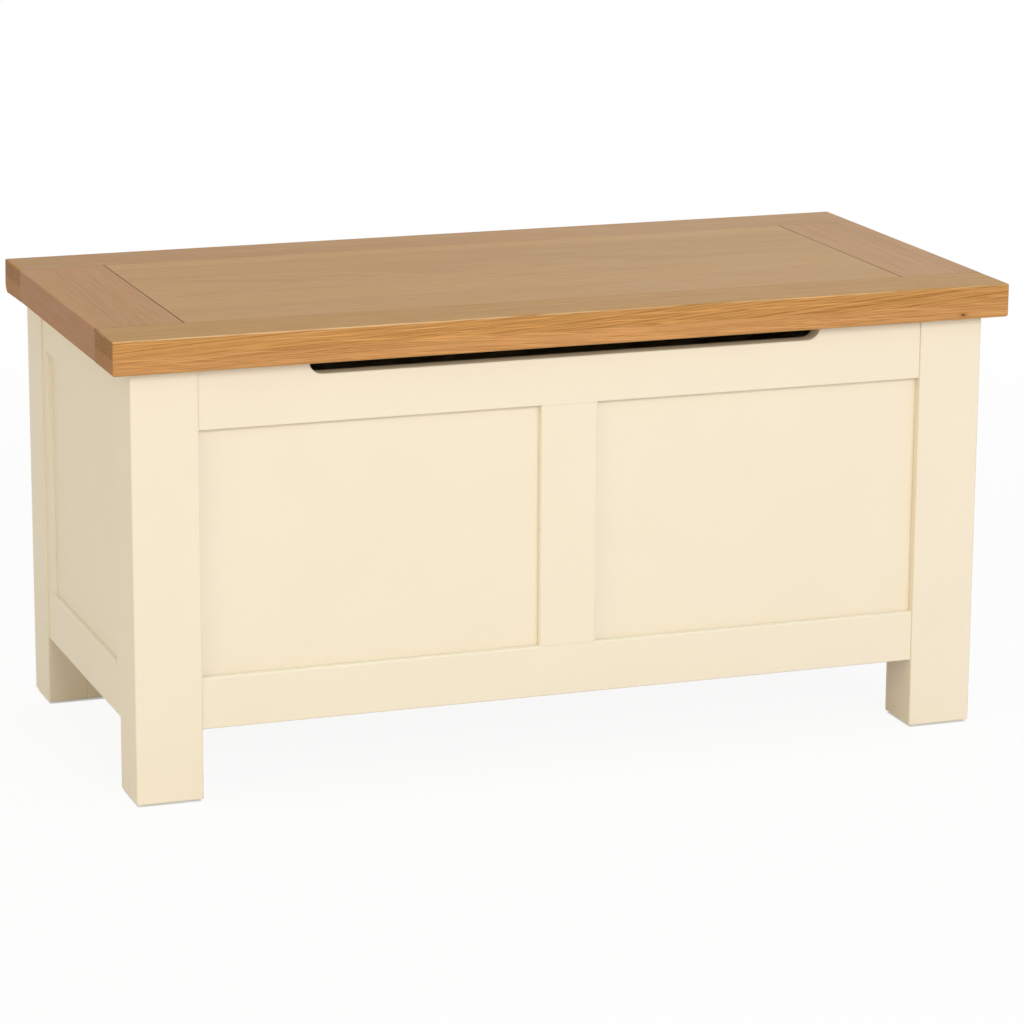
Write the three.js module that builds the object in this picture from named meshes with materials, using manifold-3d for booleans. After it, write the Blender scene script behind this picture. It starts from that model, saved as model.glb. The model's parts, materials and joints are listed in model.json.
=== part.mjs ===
// Blanket chest: a painted frame-and-panel box on four square legs, with an oak frame-and-panel lid
// that swings on two butt hinges and is held open by two folding stays.
// Millimetres, +Z up, front towards -Y. The origin is on the floor under the middle of the lid.

import * as THREE from 'three';
import { mergeVertices } from 'three/addons/utils/BufferGeometryUtils.js';
import Module from 'manifold-3d';

const wasm = await Module();
wasm.setup();

// Whole chest

const lidLength = 900;
const lidDepth = 435;
const lidThickness = 33;
const overallHeight = 450;
const lidSideOverhang = 20;
const lidFrontOverhang = 18;
const lidBackOverhang = 5;
const lidGap = 1;

// Fits: the gap of a glued joint or seat, the gap of a moving fit, and how far a cut runs past a face

const jointGap = 0.3;
const runningGap = 0.4;
const cutOverrun = 2;

// Legs and glides

const legWidth = 65;
const legDepth = 58;
const glideHeight = 2;
const glideRadius = 12;
const glideSides = 16;

// Rails, muntin and stiles

const railThickness = 18;
const railSetback = 2;
const frontTopRailWidth = 59;
const frontBottomRailWidth = 50;
const sideTopRailWidth = 48;
const sideBottomRailWidth = 50;
const backTopRailWidth = 59;
const backBottomRailWidth = 50;
const bottomRailHeight = 70;
const muntinWidth = 57;
const stileWidth = 18;
const tenonLength = 20;
const tenonThickness = 8;
const tenonShoulder = 8;
const stubTenonLength = 10;

// Panels

const panelThickness = 6;
const grooveDepth = 8;
const frontPanelRecess = 7.5;
const sidePanelRecess = 5;

// Finger slot in the front top rail

const slotLength = 516;
const slotDepth = 13;
const slotCornerRadius = 13;
const slotCornerSteps = 6;

// Floor, battens and their screws

const floorThickness = 9;
const floorSetDown = 15;
const floorFit = 1;
const battenSize = 16;
const battenEndGap = 25;
const battenScrew = { headRadius: 3.6, headDepth: 2.6, shankRadius: 1.8, length: 28, sides: 8 };
const longBattenScrewShares = [-0.8, 0, 0.8];
const shortBattenScrewShares = [-0.7, 0.7];

// Lid

const lidRailWidth = 65;
const lidCrossRailWidth = 85;
const lidPanelThickness = 18;
const lidTongueThickness = 6;
const lidTongueHeight = 3;
const lidTenonLength = 24;
const lidTenonThickness = 11;
const lidTenonShoulder = 12;
const lidBackRounding = 10;
const lidRoundingSteps = 8;
const bumperRadius = 5;
const bumperGap = 0.2;
const bumperSides = 12;

// Hinges

const hingeFromLeg = 75;
const hingeLength = 60;
const hingeLeafThickness = 2;
const hingeLeafDepth = 16;
const hingeInset = 0.3;
const knuckleCount = 5;
const knuckleSides = 24;
const pinRadius = 1.2;
const pinSides = 16;
const hingeScrew = { headRadius: 2.9, headDepth: 1.6, shankRadius: 1.4, length: 14, sides: 10 };
const hingeScrewShares = [-0.72, 0, 0.72];

// Lid stays: a parallelogram of lid, lower arm, upper arm and leg

const stayFootForward = 35;
const stayFootDepth = 90;
const stayLidForward = 160;
const stayLidDepth = 15;
const stayThickness = 2;
const stayLayerGap = 0.5;
const stayArmRadius = 7;
const stayEndSteps = 8;
const stayRivetRadius = 2.5;
const stayRivetHeadRadius = 4.5;
const stayRivetHeadThickness = 1.2;
const stayRivetSides = 12;
const footPlateWidth = 18;
const footPlateLength = 62;
const footPlateScrewSpacing = 44;
const lidBracketLength = 32;
const lidBracketWidth = 26;
const lidBracketScrewSpacing = 12;
const lidBracketScrewInset = 10;
const stayScrew = { headRadius: 3.2, headDepth: 1.7, shankRadius: 1.5, length: 16, sides: 10 };

// Planes that the pieces share

const lidSide = lidLength / 2;
const lidFront = -lidDepth / 2;
const lidBack = lidDepth / 2;
const lidBottom = overallHeight - lidThickness;
const carcassSide = lidSide - lidSideOverhang;
const carcassFront = lidFront + lidFrontOverhang;
const carcassBack = lidBack - lidBackOverhang;
const carcassTop = lidBottom - lidGap;
const legInner = carcassSide - legWidth;
const frontLegBack = carcassFront + legDepth;
const rearLegFront = carcassBack - legDepth;
const frontRailFace = carcassFront + railSetback;
const frontRailBack = frontRailFace + railThickness;
const backRailFront = carcassBack - railThickness;
const sideRailFace = carcassSide - railSetback;
const sideRailInner = sideRailFace - railThickness;
const floorTop = bottomRailHeight + frontBottomRailWidth - floorSetDown;
const floorBottom = floorTop - floorThickness;
const lidRailInner = lidSide - lidCrossRailWidth;
const lidFrontInner = lidFront + lidRailWidth;
const lidBackInner = lidBack - lidRailWidth;
const barrelRadius = hingeLeafThickness + lidGap / 2;
const hingeAxisY = lidBack - hingeInset - barrelRadius;
const hingeAxisZ = (carcassTop + lidBottom) / 2;

// Boxes: a box is three spans, x, y and z, each a low and a high end

function span(a, b) {
  return [Math.min(a, b), Math.max(a, b)];
}

function centred(middle, length) {
  return [middle - length / 2, middle + length / 2];
}

function widened(range, gap) {
  return [range[0] - gap, range[1] + gap];
}

function grown(box, gap) {
  return { x: widened(box.x, gap), y: widened(box.y, gap), z: widened(box.z, gap) };
}

// Solids and meshes

function toSolid(geometry) {
  geometry.deleteAttribute('normal');
  geometry.deleteAttribute('uv');
  const merged = mergeVertices(geometry);
  const mesh = new wasm.Mesh({
    numProp: 3,
    vertProperties: new Float32Array(merged.attributes.position.array),
    triVerts: new Uint32Array(merged.index.array),
  });
  return new wasm.Manifold(mesh);
}

function toGeometry(solid) {
  const mesh = solid.getMesh();
  const geometry = new THREE.BufferGeometry();
  geometry.setAttribute('position', new THREE.BufferAttribute(mesh.vertProperties, 3));
  geometry.setIndex(new THREE.BufferAttribute(mesh.triVerts, 1));
  return geometry;
}

function joined(solids) {
  return solids.reduce((whole, solid) => whole.add(solid));
}

function cut(solid, tools) {
  return tools.reduce((rest, tool) => rest.subtract(tool), solid);
}

function block(box) {
  const size = [box.x, box.y, box.z].map(([low, high]) => high - low);
  const middle = [box.x, box.y, box.z].map(([low, high]) => (low + high) / 2);
  return toSolid(new THREE.BoxGeometry(...size).translate(...middle));
}

function rooms(boxes, gap) {
  return boxes.map((box) => block(grown(box, gap)));
}

// A rod lies along an axis, 'x', 'y' or 'z', over a span, through a centre
function rod(axis, range, centre, radius, sides) {
  const geometry = new THREE.CylinderGeometry(radius, radius, range[1] - range[0], sides);
  if (axis === 'x') geometry.rotateZ(Math.PI / 2);
  if (axis === 'z') geometry.rotateX(Math.PI / 2);
  const place = { ...centre, [axis]: (range[0] + range[1]) / 2 };
  return toSolid(geometry.translate(place.x, place.y, place.z));
}

// A flat shape drawn in Y and Z, as thick as a span in X
function plateAcrossX(shape, range, curveSegments) {
  const geometry = new THREE.ExtrudeGeometry(shape, {
    depth: range[1] - range[0],
    bevelEnabled: false,
    curveSegments,
  });
  const alongX = new THREE.Vector3(1, 0, 0);
  const alongY = new THREE.Vector3(0, 1, 0);
  const alongZ = new THREE.Vector3(0, 0, 1);
  geometry.applyMatrix4(new THREE.Matrix4().makeBasis(alongY, alongZ, alongX));
  return toSolid(geometry.translate(range[0], 0, 0));
}

// A flat shape drawn in X and Z, as thick as a span in Y
function plateAcrossY(shape, range, curveSegments) {
  const geometry = new THREE.ExtrudeGeometry(shape, {
    depth: range[1] - range[0],
    bevelEnabled: false,
    curveSegments,
  });
  return toSolid(geometry.rotateX(Math.PI / 2).translate(0, range[1], 0));
}

// A turned shape: its profile's second number runs along the direction, from the place given
function turned(profile, place, direction, sides) {
  const points = profile.map(([radius, along]) => new THREE.Vector2(radius, along));
  const geometry = new THREE.LatheGeometry(points, sides);
  const turn = new THREE.Quaternion().setFromUnitVectors(
    new THREE.Vector3(0, 1, 0),
    new THREE.Vector3(direction.x, direction.y, direction.z),
  );
  geometry.applyQuaternion(turn);
  return toSolid(geometry.translate(place.x, place.y, place.z));
}

// Screw holes: the head's face lies at the place, and the direction points out of the wood

function screwHole(screw, place, direction) {
  const profile = [
    [0, -screw.length],
    [screw.shankRadius, -screw.length],
    [screw.shankRadius, -screw.headDepth],
    [screw.headRadius, 0],
    [screw.headRadius, cutOverrun],
    [0, cutOverrun],
  ];
  return turned(profile, place, direction, screw.sides);
}

// Where things are: the boxes of rails, tenons and panels

function tenonZ(range) {
  return widened(range, -tenonShoulder);
}

function tenonAcross(range) {
  return centred((range[0] + range[1]) / 2, tenonThickness);
}

const frontRailY = [frontRailFace, frontRailBack];
const backRailY = [backRailFront, carcassBack];
const sideY = [frontLegBack, rearLegFront];
const frontTopZ = [carcassTop - frontTopRailWidth, carcassTop];
const frontBottomZ = [bottomRailHeight, bottomRailHeight + frontBottomRailWidth];
const backTopZ = [carcassTop - backTopRailWidth, carcassTop];
const backBottomZ = [bottomRailHeight, bottomRailHeight + backBottomRailWidth];
const sideTopZ = [carcassTop - sideTopRailWidth, carcassTop];
const sideBottomZ = [bottomRailHeight, bottomRailHeight + sideBottomRailWidth];
const frontPanelFace = frontRailFace + frontPanelRecess;
const frontPanelY = [frontPanelFace, frontPanelFace + panelThickness];
const backPanelY = centred((backRailFront + carcassBack) / 2, panelThickness);

function longRail(y, z) {
  const body = { x: widened([-legInner, legInner], -jointGap), y, z };
  const tenons = { x: widened([-legInner, legInner], tenonLength), y: tenonAcross(y), z: tenonZ(z) };
  return { body, tenons };
}

function sideRail(side, z) {
  const x = span(side * sideRailFace, side * sideRailInner);
  const body = { x, y: widened(sideY, -jointGap), z };
  const tenons = { x: tenonAcross(x), y: widened(sideY, tenonLength), z: tenonZ(z) };
  return { body, tenons };
}

function openingZ(end) {
  return end < 0 ? [frontBottomZ[1], frontTopZ[0]] : [backBottomZ[1], backTopZ[0]];
}

const frontTop = longRail(frontRailY, frontTopZ);
const frontBottom = longRail(frontRailY, frontBottomZ);
const backTop = longRail(backRailY, backTopZ);
const backBottom = longRail(backRailY, backBottomZ);

function muntin(end) {
  const y = end < 0 ? frontRailY : backRailY;
  const opening = openingZ(end);
  return {
    body: { x: centred(0, muntinWidth), y, z: widened(opening, -jointGap) },
    tenons: {
      x: centred(0, muntinWidth - 2 * grooveDepth),
      y: tenonAcross(y),
      z: widened(opening, stubTenonLength),
    },
  };
}

function panelBox(side, end) {
  return {
    x: span(side * (legInner + grooveDepth), side * (muntinWidth / 2 - grooveDepth)),
    y: end < 0 ? frontPanelY : backPanelY,
    z: widened(openingZ(end), grooveDepth),
  };
}

function sidePanelX(side) {
  const face = sideRailFace - sidePanelRecess;
  return span(side * face, side * (face - panelThickness));
}

function sidePanelBox(side) {
  return {
    x: sidePanelX(side),
    y: widened(sideY, grooveDepth - stileWidth),
    z: widened([sideBottomZ[1], sideTopZ[0]], grooveDepth),
  };
}

function stile(side, end) {
  const y = end < 0
    ? span(frontLegBack + jointGap, frontLegBack + stileWidth)
    : span(rearLegFront - jointGap, rearLegFront - stileWidth);
  const opening = [sideBottomZ[1], sideTopZ[0]];
  return {
    body: { x: span(side * sideRailFace, side * sideRailInner), y, z: widened(opening, -jointGap) },
    tenons: { x: sidePanelX(side), y, z: widened(opening, grooveDepth) },
  };
}

function legBox(side, end) {
  return {
    x: span(side * carcassSide, side * legInner),
    y: end < 0 ? [carcassFront, frontLegBack] : [rearLegFront, carcassBack],
    z: [glideHeight, carcassTop],
  };
}

// Legs

function leg(side, end) {
  const rails = end < 0 ? [frontTop, frontBottom] : [backTop, backBottom];
  const sides = [sideRail(side, sideTopZ), sideRail(side, sideBottomZ)];
  const mortises = [...rails, ...sides].map((rail) => rail.tenons);
  const tools = rooms([...mortises, panelBox(side, end)], jointGap);
  if (end > 0) tools.push(...stayFootScrewPlaces(side).map((place) => stayFootScrewHole(side, place)));
  return cut(block(legBox(side, end)), tools);
}

function legMiddle(side, end) {
  const { x, y } = legBox(side, end);
  return { x: (x[0] + x[1]) / 2, y: (y[0] + y[1]) / 2 };
}

function glide(side, end) {
  return rod('z', [0, glideHeight - jointGap], legMiddle(side, end), glideRadius, glideSides);
}

// Front frame, and the muntin that the back frame has too

function fingerSlot() {
  const half = slotLength / 2;
  const corner = half - slotCornerRadius;
  const bottom = carcassTop - slotDepth;
  const centreZ = bottom + slotCornerRadius;
  const shape = new THREE.Shape();
  shape.moveTo(-half, carcassTop + cutOverrun);
  shape.lineTo(-half, centreZ);
  shape.absarc(-corner, centreZ, slotCornerRadius, Math.PI, 1.5 * Math.PI, false);
  shape.lineTo(corner, bottom);
  shape.absarc(corner, centreZ, slotCornerRadius, 1.5 * Math.PI, 2 * Math.PI, false);
  shape.lineTo(half, carcassTop + cutOverrun);
  return plateAcrossY(shape, widened(frontRailY, cutOverrun), slotCornerSteps);
}

function tenoned(piece) {
  return block(piece.body).add(block(piece.tenons));
}

function railGrooves(end) {
  return rooms([panelBox(-1, end), panelBox(1, end), muntin(end).tenons], jointGap);
}

function frontTopRail() {
  return cut(tenoned(frontTop), [...railGrooves(-1), fingerSlot()]);
}

function frontBottomRail() {
  return cut(tenoned(frontBottom), [...railGrooves(-1), ...battenScrewHoles('front')]);
}

function middleMuntin(end) {
  return cut(tenoned(muntin(end)), rooms([panelBox(-1, end), panelBox(1, end)], jointGap));
}

// Side frames

function sideTopRail(side) {
  const grooves = [sidePanelBox(side), stile(side, -1).tenons, stile(side, 1).tenons];
  return cut(tenoned(sideRail(side, sideTopZ)), rooms(grooves, jointGap));
}

function sideBottomRail(side) {
  const grooves = [sidePanelBox(side), stile(side, -1).tenons, stile(side, 1).tenons];
  const holes = battenScrewHoles(side < 0 ? 'left' : 'right');
  return cut(tenoned(sideRail(side, sideBottomZ)), [...rooms(grooves, jointGap), ...holes]);
}

function sideStile(side, end) {
  return cut(tenoned(stile(side, end)), rooms([sidePanelBox(side)], jointGap));
}

// Back frame

function backTopRail() {
  const tools = railGrooves(1);
  for (const side of [-1, 1]) {
    tools.push(leafRoom(side, 'body'), barrelRoom(side));
    tools.push(...hingeScrewPlaces(side, 'body').map((place) => screwHole(hingeScrew, place, up)));
  }
  return cut(tenoned(backTop), tools);
}

function backBottomRail() {
  return cut(tenoned(backBottom), [...railGrooves(1), ...battenScrewHoles('back')]);
}

// Floor and battens

const battenZ = [floorBottom - jointGap - battenSize, floorBottom - jointGap];
const longBattenX = widened([-legInner, legInner], -battenEndGap);
const shortBattenY = widened(sideY, -battenEndGap);
const battens = {
  front: {
    box: { x: longBattenX, y: span(frontRailBack + jointGap, frontRailBack + battenSize), z: battenZ },
    inward: { x: 0, y: 1, z: 0 },
  },
  back: {
    box: { x: longBattenX, y: span(backRailFront - jointGap, backRailFront - battenSize), z: battenZ },
    inward: { x: 0, y: -1, z: 0 },
  },
  left: {
    box: { x: span(-sideRailInner + jointGap, -sideRailInner + battenSize), y: shortBattenY, z: battenZ },
    inward: { x: 1, y: 0, z: 0 },
  },
  right: {
    box: { x: span(sideRailInner - jointGap, sideRailInner - battenSize), y: shortBattenY, z: battenZ },
    inward: { x: -1, y: 0, z: 0 },
  },
};

function battenScrewPlaces(where) {
  const { box, inward } = battens[where];
  const z = (box.z[0] + box.z[1]) / 2;
  if (inward.y !== 0) {
    const y = inward.y > 0 ? box.y[1] : box.y[0];
    return longBattenScrewShares.map((share) => ({ x: share * box.x[1], y, z }));
  }
  const x = inward.x > 0 ? box.x[1] : box.x[0];
  const middle = (box.y[0] + box.y[1]) / 2;
  const half = (box.y[1] - box.y[0]) / 2;
  return shortBattenScrewShares.map((share) => ({ x, y: middle + share * half, z }));
}

function battenScrewHoles(where) {
  return battenScrewPlaces(where).map((place) => screwHole(battenScrew, place, battens[where].inward));
}

function batten(where) {
  return cut(block(battens[where].box), battenScrewHoles(where));
}

function floorPanel() {
  const sheet = {
    x: widened([-sideRailInner, sideRailInner], -floorFit),
    y: widened([frontRailBack, backRailFront], -floorFit),
    z: [floorBottom, floorTop],
  };
  const legs = [-1, 1].flatMap((side) => [legBox(side, -1), legBox(side, 1)]);
  return cut(block(sheet), rooms(legs, floorFit));
}

// Lid

const up = { x: 0, y: 0, z: 1 };
const down = { x: 0, y: 0, z: -1 };
const lidZ = [lidBottom, overallHeight];
const lidInnerY = [lidFrontInner, lidBackInner];

function lidTongue() {
  const bottom = overallHeight - lidPanelThickness + lidTongueHeight;
  return {
    x: widened([-lidRailInner, lidRailInner], grooveDepth),
    y: widened(lidInnerY, grooveDepth),
    z: [bottom, bottom + lidTongueThickness],
  };
}

function crossRail(side) {
  const x = span(side * lidSide, side * lidRailInner);
  return {
    body: { x, y: widened(lidInnerY, -jointGap), z: lidZ },
    tenons: {
      x: widened(x, -lidTenonShoulder),
      y: widened(lidInnerY, lidTenonLength),
      z: centred((lidBottom + overallHeight) / 2, lidTenonThickness),
    },
  };
}

function lidRailCuts() {
  return rooms([lidTongue(), crossRail(-1).tenons, crossRail(1).tenons], jointGap);
}

function lidFrontRail() {
  const box = { x: [-lidSide, lidSide], y: [lidFront, lidFrontInner], z: lidZ };
  return cut(block(box), lidRailCuts());
}

function lidBackRail() {
  const arcY = lidBack - lidBackRounding;
  const arcZ = lidBottom + lidBackRounding;
  const shape = new THREE.Shape();
  shape.moveTo(lidBackInner, lidBottom);
  shape.lineTo(arcY, lidBottom);
  shape.absarc(arcY, arcZ, lidBackRounding, -Math.PI / 2, 0, false);
  shape.lineTo(lidBack, overallHeight);
  shape.lineTo(lidBackInner, overallHeight);
  const tools = lidRailCuts();
  for (const side of [-1, 1]) {
    tools.push(leafRoom(side, 'lid'), barrelRoom(side));
    tools.push(...hingeScrewPlaces(side, 'lid').map((place) => screwHole(hingeScrew, place, down)));
  }
  return cut(plateAcrossX(shape, [-lidSide, lidSide], lidRoundingSteps), tools);
}

function lidCrossRail(side) {
  const tools = rooms([lidTongue()], jointGap);
  tools.push(...stayLidScrewPlaces(side).map((place) => screwHole(stayScrew, place, down)));
  return cut(tenoned(crossRail(side)), tools);
}

function lidPanel() {
  const body = {
    x: widened([-lidRailInner, lidRailInner], -jointGap),
    y: widened(lidInnerY, -jointGap),
    z: [overallHeight - lidPanelThickness, overallHeight],
  };
  return block(body).add(block(lidTongue()));
}

function lidBumper(side) {
  const z = widened([carcassTop, lidBottom], -bumperGap);
  return rod('z', z, legMiddle(side, -1), bumperRadius, bumperSides);
}

// Hinges: the barrel's odd knuckles belong to the body leaf and the even ones to the lid leaf

const hingeAxis = { y: hingeAxisY, z: hingeAxisZ };
const barrelReach = barrelRadius + runningGap;

function hingeX(side) {
  return side * (legInner - hingeFromLeg);
}

function leafZ(kind) {
  return kind === 'body'
    ? [carcassTop - hingeLeafThickness, carcassTop]
    : [lidBottom, lidBottom + hingeLeafThickness];
}

function leafBox(side, kind) {
  return {
    x: centred(hingeX(side), hingeLength),
    y: [carcassBack - hingeLeafDepth, hingeAxisY - barrelReach],
    z: leafZ(kind),
  };
}

function leafRoom(side, kind) {
  const leaf = leafBox(side, kind);
  return block(grown({ ...leaf, y: [leaf.y[0], hingeAxisY] }, jointGap));
}

function knuckleX(side, index) {
  const pitch = hingeLength / knuckleCount;
  const start = hingeX(side) - hingeLength / 2 + index * pitch;
  return [start, start + pitch];
}

function knuckle(side, kind, index) {
  const x = widened(knuckleX(side, index), -jointGap / 2);
  const web = { x, y: [hingeAxisY - barrelReach, hingeAxisY], z: leafZ(kind) };
  return rod('x', x, hingeAxis, barrelRadius, knuckleSides).add(block(web));
}

function barrelRoom(side) {
  const x = widened(centred(hingeX(side), hingeLength), jointGap);
  return rod('x', x, hingeAxis, barrelReach, knuckleSides);
}

function hingeScrewPlaces(side, kind) {
  const { y, z } = leafBox(side, kind);
  const face = kind === 'body' ? z[1] : z[0];
  const middle = (y[0] + y[1]) / 2;
  return hingeScrewShares.map((share) => ({
    x: hingeX(side) + share * hingeLength / 2,
    y: middle,
    z: face,
  }));
}

function hingeLeaf(side, kind) {
  const parts = [block(leafBox(side, kind))];
  const first = kind === 'body' ? 0 : 1;
  for (let index = first; index < knuckleCount; index += 2) parts.push(knuckle(side, kind, index));
  const length = widened(centred(hingeX(side), hingeLength), cutOverrun);
  const bore = rod('x', length, hingeAxis, pinRadius + jointGap, pinSides);
  const out = kind === 'body' ? up : down;
  const holes = hingeScrewPlaces(side, kind).map((place) => screwHole(hingeScrew, place, out));
  return cut(joined(parts), [bore, ...holes]);
}

function hingePin(side) {
  return rod('x', centred(hingeX(side), hingeLength), hingeAxis, pinRadius, pinSides);
}

// Lid stays: pivots are at the foot, on the lid and at the elbow between the two arms.
// Layers count inwards from the leg.

const footPivot = { y: hingeAxisY - stayFootForward, z: hingeAxisZ - stayFootDepth };
const lidPivot = { y: hingeAxisY - stayLidForward, z: hingeAxisZ - stayLidDepth };
const elbowPivot = { y: footPivot.y - stayLidForward, z: footPivot.z - stayLidDepth };
const rivetHoleRadius = stayRivetRadius + jointGap;
const footPlateLayer = 0;
const lowerArmLayer = 1;
const bracketEarLayer = lowerArmLayer;
const upperArmLayer = 2;

function layerDepth(layer) {
  return legInner - jointGap - layer * (stayThickness + stayLayerGap);
}

function layerX(side, layer) {
  return span(side * layerDepth(layer), side * (layerDepth(layer) - stayThickness));
}

function armShape(from, to) {
  const angle = Math.atan2(to.z - from.z, to.y - from.y);
  const shape = new THREE.Shape();
  shape.absarc(from.y, from.z, stayArmRadius, angle + Math.PI / 2, angle + 1.5 * Math.PI, false);
  shape.absarc(to.y, to.z, stayArmRadius, angle - Math.PI / 2, angle + Math.PI / 2, false);
  return shape;
}

function rivetHole(pivot, x) {
  return rod('x', widened(x, cutOverrun), pivot, rivetHoleRadius, stayRivetSides);
}

function stayArm(side, layer, from, to) {
  const x = layerX(side, layer);
  return cut(plateAcrossX(armShape(from, to), x, stayEndSteps), [rivetHole(from, x), rivetHole(to, x)]);
}

function stayFootScrewPlaces(side) {
  const x = side * (layerDepth(footPlateLayer) - stayThickness);
  const half = footPlateScrewSpacing / 2;
  return [-half, half].map((offset) => ({ x, y: footPivot.y, z: footPivot.z + offset }));
}

function stayFootScrewHole(side, place) {
  return screwHole(stayScrew, place, { x: -side, y: 0, z: 0 });
}

function stayFootPlate(side) {
  const x = layerX(side, footPlateLayer);
  const plate = {
    x,
    y: centred(footPivot.y, footPlateWidth),
    z: centred(footPivot.z, footPlateLength),
  };
  const holes = stayFootScrewPlaces(side).map((place) => stayFootScrewHole(side, place));
  return cut(block(plate), [rivetHole(footPivot, x), ...holes]);
}

function lidBracketPlateZ() {
  return [lidBottom - jointGap - stayThickness, lidBottom - jointGap];
}

function stayLidScrewPlaces(side) {
  const inner = layerDepth(bracketEarLayer) - stayThickness;
  const half = lidBracketScrewSpacing / 2;
  const x = side * (inner + lidBracketLength - lidBracketScrewInset);
  return [-half, half].map((offset) => ({ x, y: lidPivot.y + offset, z: lidBracketPlateZ()[0] }));
}

function stayLidBracket(side) {
  const earX = layerX(side, bracketEarLayer);
  const inner = layerDepth(bracketEarLayer) - stayThickness;
  const plate = {
    x: span(side * inner, side * (inner + lidBracketLength)),
    y: centred(lidPivot.y, lidBracketWidth),
    z: lidBracketPlateZ(),
  };
  const ear = new THREE.Shape();
  ear.absarc(lidPivot.y, lidPivot.z, stayArmRadius, Math.PI, 2 * Math.PI, false);
  ear.lineTo(lidPivot.y + stayArmRadius, lidBracketPlateZ()[1]);
  ear.lineTo(lidPivot.y - stayArmRadius, lidBracketPlateZ()[1]);
  const holes = stayLidScrewPlaces(side).map((place) => screwHole(stayScrew, place, down));
  const whole = block(plate).add(plateAcrossX(ear, earX, stayEndSteps));
  return cut(whole, [rivetHole(lidPivot, earX), ...holes]);
}

// A rivet's profile runs inwards from the wood: a head, or a flush end, then the shank and a head
function stayRivet(side, pivot, outerLayer, innerLayer, flush) {
  const start = layerDepth(outerLayer);
  const length = start - layerDepth(innerLayer) + stayThickness;
  const outer = flush
    ? [[0, 0], [stayRivetRadius, 0]]
    : [
      [0, -jointGap - stayRivetHeadThickness],
      [stayRivetHeadRadius, -jointGap - stayRivetHeadThickness],
      [stayRivetHeadRadius, -jointGap],
      [stayRivetRadius, -jointGap],
    ];
  const profile = [
    ...outer,
    [stayRivetRadius, length + jointGap],
    [stayRivetHeadRadius, length + jointGap],
    [stayRivetHeadRadius, length + jointGap + stayRivetHeadThickness],
    [0, length + jointGap + stayRivetHeadThickness],
  ];
  const place = { x: side * start, ...pivot };
  return turned(profile, place, { x: -side, y: 0, z: 0 }, stayRivetSides);
}

// Finishes

const paint = new THREE.MeshStandardMaterial({ color: 0xefe4ca, roughness: 0.5, metalness: 0 });
const oak = new THREE.MeshStandardMaterial({ color: 0xb5834a, roughness: 0.5, metalness: 0 });
const plainWood = new THREE.MeshStandardMaterial({ color: 0xcdb186, roughness: 0.7, metalness: 0 });
const brass = new THREE.MeshStandardMaterial({ color: 0xb38d4f, roughness: 0.35, metalness: 1 });
const steel = new THREE.MeshStandardMaterial({ color: 0x9a9da1, roughness: 0.35, metalness: 1 });
const plastic = new THREE.MeshStandardMaterial({ color: 0x2a2a2a, roughness: 0.6, metalness: 0 });
const felt = new THREE.MeshStandardMaterial({ color: 0x6b5a48, roughness: 0.95, metalness: 0 });

// Assembly: each mesh has its own middle as its origin, and hangs in the group of what it belongs to

const chest = new THREE.Group();
const carcass = new THREE.Group();
const lid = new THREE.Group();
lid.position.set(0, hingeAxisY, hingeAxisZ);
chest.add(carcass, lid);

function put(group, name, solid, material) {
  const geometry = toGeometry(solid);
  geometry.computeBoundingBox();
  const middle = geometry.boundingBox.getCenter(new THREE.Vector3());
  geometry.translate(-middle.x, -middle.y, -middle.z);
  geometry.computeVertexNormals();
  const mesh = new THREE.Mesh(geometry, material);
  mesh.name = name;
  mesh.position.copy(middle);
  group.attach(mesh);
}

function stayGroup(parent, pivot) {
  const group = new THREE.Group();
  group.position.set(0, pivot.y, pivot.z);
  chest.add(group);
  parent.attach(group);
  return group;
}

const ends = [['front', -1], ['rear', 1]];
const sides = [['left', -1], ['right', 1]];
const faces = [['front', -1], ['back', 1]];

for (const [endName, end] of ends) {
  for (const [sideName, side] of sides) {
    put(carcass, `${endName}_${sideName}_leg`, leg(side, end), paint);
    put(carcass, `${endName}_${sideName}_glide`, glide(side, end), plastic);
  }
}

put(carcass, 'front_top_rail', frontTopRail(), paint);
put(carcass, 'front_bottom_rail', frontBottomRail(), paint);
put(carcass, 'back_top_rail', backTopRail(), paint);
put(carcass, 'back_bottom_rail', backBottomRail(), paint);
for (const [faceName, end] of faces) {
  put(carcass, `${faceName}_muntin`, middleMuntin(end), paint);
  for (const [sideName, side] of sides) {
    put(carcass, `${faceName}_${sideName}_panel`, block(panelBox(side, end)), paint);
  }
}

for (const [sideName, side] of sides) {
  put(carcass, `${sideName}_top_rail`, sideTopRail(side), paint);
  put(carcass, `${sideName}_bottom_rail`, sideBottomRail(side), paint);
  put(carcass, `${sideName}_front_stile`, sideStile(side, -1), paint);
  put(carcass, `${sideName}_rear_stile`, sideStile(side, 1), paint);
  put(carcass, `${sideName}_panel`, block(sidePanelBox(side)), paint);
}

put(carcass, 'floor_panel', floorPanel(), plainWood);
for (const where of Object.keys(battens)) put(carcass, `floor_${where}_batten`, batten(where), plainWood);

put(lid, 'lid_front_rail', lidFrontRail(), oak);
put(lid, 'lid_back_rail', lidBackRail(), oak);
put(lid, 'lid_left_rail', lidCrossRail(-1), oak);
put(lid, 'lid_right_rail', lidCrossRail(1), oak);
put(lid, 'lid_panel', lidPanel(), oak);
for (const [sideName, side] of sides) put(carcass, `${sideName}_lid_bumper`, lidBumper(side), felt);

for (const [sideName, side] of sides) {
  put(carcass, `${sideName}_hinge_body_leaf`, hingeLeaf(side, 'body'), brass);
  put(lid, `${sideName}_hinge_lid_leaf`, hingeLeaf(side, 'lid'), brass);
  put(carcass, `${sideName}_hinge_pin`, hingePin(side), brass);
}

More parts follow.
